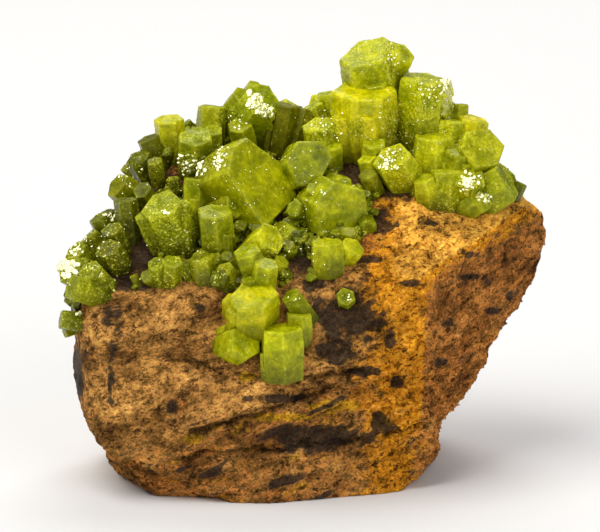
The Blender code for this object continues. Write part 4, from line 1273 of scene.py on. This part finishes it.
class SPECIMEN_OT_druse(bpy.types.Operator):
    """Scatters small crystals over the ground between the large ones"""

    bl_idname = "specimen.druse"
    bl_label = "Druse"

    def execute(self, context):
        directions, rng = scatter(context.scene.specimen_crystals.druse_count, DRUSE_SEED)
        points = on_rock(directions)
        normals = rock_normals(directions)
        keep = druse_ground(points, normals)
        points, normals = points[keep], normals[keep]
        crowd = noise(points, "druse crowds")
        chosen = rng.uniform(0, 1, len(points)) < np.clip(0.5 + 1.1 * crowd, 0.1, 1)
        points, normals, crowd = points[chosen], normals[chosen], crowd[chosen]
        count = len(points)
        widths = 0.42 + 1.6 * rng.beta(1.0, 3.6, count) * (1 + 0.7 * crowd)
        lengths = widths * rng.uniform(0.6, 1.4, count)
        axes = unit(normals + rng.normal(0, 0.5, normals.shape) + np.array([0, -0.2, 0.2]))
        turns = rng.uniform(0, math.pi, count)
        shape, quads, triangles = small_prisms(points, axes, turns, widths, lengths, rng, 0.5)
        left = soft_step(-(points[:, 0] + 14) * 0.6)
        each = {"shade": 0.42 + 0.28 * rng.uniform(-1, 1, count) + 0.15 * left}
        each["tint"] = 0.35 + 0.3 * rng.uniform(-1, 1, count)
        each["sugar"] = rng.uniform(0.0, 0.7, count)
        each["along"] = rng.uniform(0, 90, count)
        attributes = {key: np.repeat(values, SMALL_POINTS) for key, values in each.items()}
        # Over one prism's points: the buried ring, the shoulder and tip rings, the tip and the root's middle.
        edge = np.concatenate([np.zeros(SIDES), np.full(2 * SIDES, 0.4), [0.0, 0.0]])
        rooted = np.concatenate([np.ones(SIDES), np.full(2 * SIDES + 1, 0.2), [1.0]])
        # Painted glow on the shoulder and tip rings.
        attributes["edge"] = np.tile(edge, count)
        # Painted shade on the buried ring and the root's middle, and a little on the rest.
        attributes["rooted"] = np.tile(rooted, count)
        crystal = bpy.data.materials["pyromorphite crystal"]
        piece = new_piece("druse", shape, quads, triangles, attributes, crystal)
        outward_faces(piece)
        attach(piece, BODY)
        return {"FINISHED"}


def is_crystal(thing):
    """Whether an object that a line of sight met, if any, is a group of crystals or the druse."""
    return thing is not None and (thing.name.endswith("_crystals") or thing.name == "druse")


class SPECIMEN_OT_facets(bpy.types.Operator):
    """Grows clean little facets where the show face glints"""

    bl_idname = "specimen.facets"
    bl_label = "Glinting facets"

    def execute(self, context):
        material = pyromorphite(context.scene.specimen_crystals, "pyromorphite facet", *FACET_GLOSS)
        rng = np.random.default_rng(FACET_SEED)
        seen = []
        sizes = []
        for x, height, half_width, half_height, count, width in GLINTS:
            offset = rng.uniform(-0.75, 0.75, (2, count, 2)).sum(axis=0) * np.array([half_width, half_height])
            seen.append(np.array([x, height]) + offset)
            sizes.append(width * rng.uniform(0.5, 1.25, count))
        seen = np.vstack(seen)
        # Each place is found by a line of sight from the viewer's side of the specimen.
        context.view_layer.update()
        depsgraph = context.evaluated_depsgraph_get()
        start = seen[:, :1] * SEEN_RIGHT + seen[:, 1:] * SEEN_UP + SIGHT_START * TO_VIEWER
        sight = Vector(-TO_VIEWER)
        found = [
            context.scene.ray_cast(depsgraph, Vector(point * MM), sight, distance=SIGHT_LENGTH * MM)
            for point in start
        ]
        met = np.array([is_crystal(thing) for _, _, _, _, thing, _ in found])
        places = np.array([place for _, place, _, _, _, _ in found])[met] / MM
        sizes = np.concatenate(sizes)[met]
        # A facet glints where it faces halfway between the show face's line of sight and the main light.
        halfway = np.array(KEY_PLACE) / np.linalg.norm(KEY_PLACE) + TO_VIEWER
        axes = unit(halfway / np.linalg.norm(halfway) + rng.normal(0, 0.035, places.shape))
        turns = rng.uniform(0, math.pi, len(places))
        sunk = places - 0.35 * axes * sizes[:, None]
        shape, quads, triangles = small_prisms(sunk, axes, turns, sizes, 0.5 * sizes, rng, 1.0)
        # Each facet is drawn out one way, into a shard.
        flat = unit(np.cross(axes, rng.normal(0, 1, axes.shape)))
        along = np.repeat(flat, SMALL_POINTS, axis=0)
        middle = np.repeat(places, SMALL_POINTS, axis=0)
        narrow = np.repeat(rng.uniform(0.45, 0.9, len(places)), SMALL_POINTS)
        shape -= ((1 - narrow) * ((shape - middle) * along).sum(axis=1))[:, None] * along
        # Painted highlight: the facets' colour is mixed nearly all the way to the light edge tone.
        attributes = {key: np.full(len(shape), FACET_LOOK.get(key, 0.0)) for key in CRYSTAL_MASKS}
        piece = new_piece("glinting_facets", shape, quads, triangles, attributes, material)
        outward_faces(piece)
        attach(piece, BODY)
        return {"FINISHED"}


def area_light(name, place, size, power, colour):
    """A square soft light at a place, turned to the specimen's middle."""
    light = bpy.data.lights.new(name, "AREA")
    light.shape = "SQUARE"
    light.size = size
    light.energy = power
    light.color = linear(colour)[:3]
    holder = bpy.data.objects.new(name, light)
    holder.location = place
    holder.rotation_euler = (Vector(LIT_MIDDLE) - Vector(place)).to_track_quat("-Z", "Y").to_euler()
    bpy.context.scene.collection.objects.link(holder)


def paper_roll():
    """The floor and wall: a profile of floor, quarter circle and wall, carried from side to side."""
    bend = np.linspace(0, math.pi / 2, 16)
    depth = np.concatenate([[PAPER_FRONT], PAPER_BACK + PAPER_BEND * np.sin(bend), [PAPER_BACK + PAPER_BEND]])
    height = np.concatenate([[0.0], PAPER_BEND - PAPER_BEND * np.cos(bend), [PAPER_TOP]]) - PAPER_GAP
    sides = np.array([-PAPER_HALF_WIDTH, PAPER_HALF_WIDTH])
    points = np.stack([np.repeat(sides, len(depth)), np.tile(depth, 2), np.tile(height, 2)], axis=1) / MM
    here = np.arange(len(depth) - 1)
    quads = np.stack([here, here + len(depth), here + len(depth) + 1, here + 1], axis=1)
    return points, quads


class SPECIMEN_OT_stage(bpy.types.Operator):
    """Sets out the paper, the lights and the camera"""

    bl_idname = "specimen.stage"
    bl_label = "Stage"

    def execute(self, context):
        settings = context.scene.specimen_stage
        points, quads = paper_roll()
        floor = new_piece("paper_roll", points, quads, np.zeros((0, 3), int), {}, studio_paper(settings), 30)
        area_light("key", KEY_PLACE, 0.42, settings.key_power, "#fffcf8")
        area_light("fill", (0.3, -0.42, 0.28), 0.42, settings.fill_power, "#fbfaff")
        area_light("top back", (0.05, 0.32, 0.42), 0.34, settings.rim_power, "#ffffff")
        world = bpy.data.worlds.new("even light")
        world.use_nodes = True
        background = world.node_tree.nodes["Background"]
        background.inputs["Color"].default_value = linear("#ffffff")
        background.inputs["Strength"].default_value = settings.sky_strength
        context.scene.world = world
        context.scene.view_settings.view_transform = "Standard"
        camera = bpy.data.cameras.new("show face")
        camera.sensor_width = SENSOR_WIDTH
        camera.lens = SENSOR_WIDTH * settings.camera_distance / settings.field_width
        camera.clip_start = 0.01
        holder = bpy.data.objects.new("show face", camera)
        aim = (CAMERA_AIM[0] * SEEN_RIGHT + CAMERA_AIM[1] * SEEN_UP) * MM
        turned = Matrix([SEEN_RIGHT, SEEN_UP, TO_VIEWER]).transposed().to_4x4()
        turned.translation = Vector(aim + TO_VIEWER * settings.camera_distance)
        holder.matrix_world = turned
        context.scene.collection.objects.link(holder)
        context.scene.camera = holder
        return {"FINISHED"}


class SPECIMEN_PT_panel(bpy.types.Panel):
    """Lists the specimen's builders"""

    bl_idname = "SPECIMEN_PT_panel"
    bl_label = "Specimen"
    bl_space_type = "VIEW_3D"
    bl_region_type = "UI"
    bl_category = "Specimen"

    def draw(self, context):
        for operator in OPERATORS:
            self.layout.operator(operator.bl_idname)


PROPERTY_GROUPS = {
    "specimen_rock": SPECIMEN_PG_rock,
    "specimen_crystals": SPECIMEN_PG_crystals,
    "specimen_stage": SPECIMEN_PG_stage,
}
OPERATORS = (
    SPECIMEN_OT_stage, SPECIMEN_OT_rock, SPECIMEN_OT_grit, SPECIMEN_OT_crystals, SPECIMEN_OT_druse,
    SPECIMEN_OT_facets
)


def register():
    for key, group in PROPERTY_GROUPS.items():
        bpy.utils.register_class(group)
        setattr(bpy.types.Scene, key, bpy.props.PointerProperty(type=group))
    for operator in OPERATORS:
        bpy.utils.register_class(operator)
    bpy.utils.register_class(SPECIMEN_PT_panel)


def unregister():
    bpy.utils.unregister_class(SPECIMEN_PT_panel)
    for operator in reversed(OPERATORS):
        bpy.utils.unregister_class(operator)
    for key, group in PROPERTY_GROUPS.items():
        delattr(bpy.types.Scene, key)
        bpy.utils.unregister_class(group)


def main():
    register()
    bpy.ops.specimen.stage()
    bpy.ops.specimen.rock()
    bpy.ops.specimen.grit()
    bpy.ops.specimen.crystals()
    bpy.ops.specimen.druse()
    bpy.ops.specimen.facets()


if __name__ == "__main__":
    main()
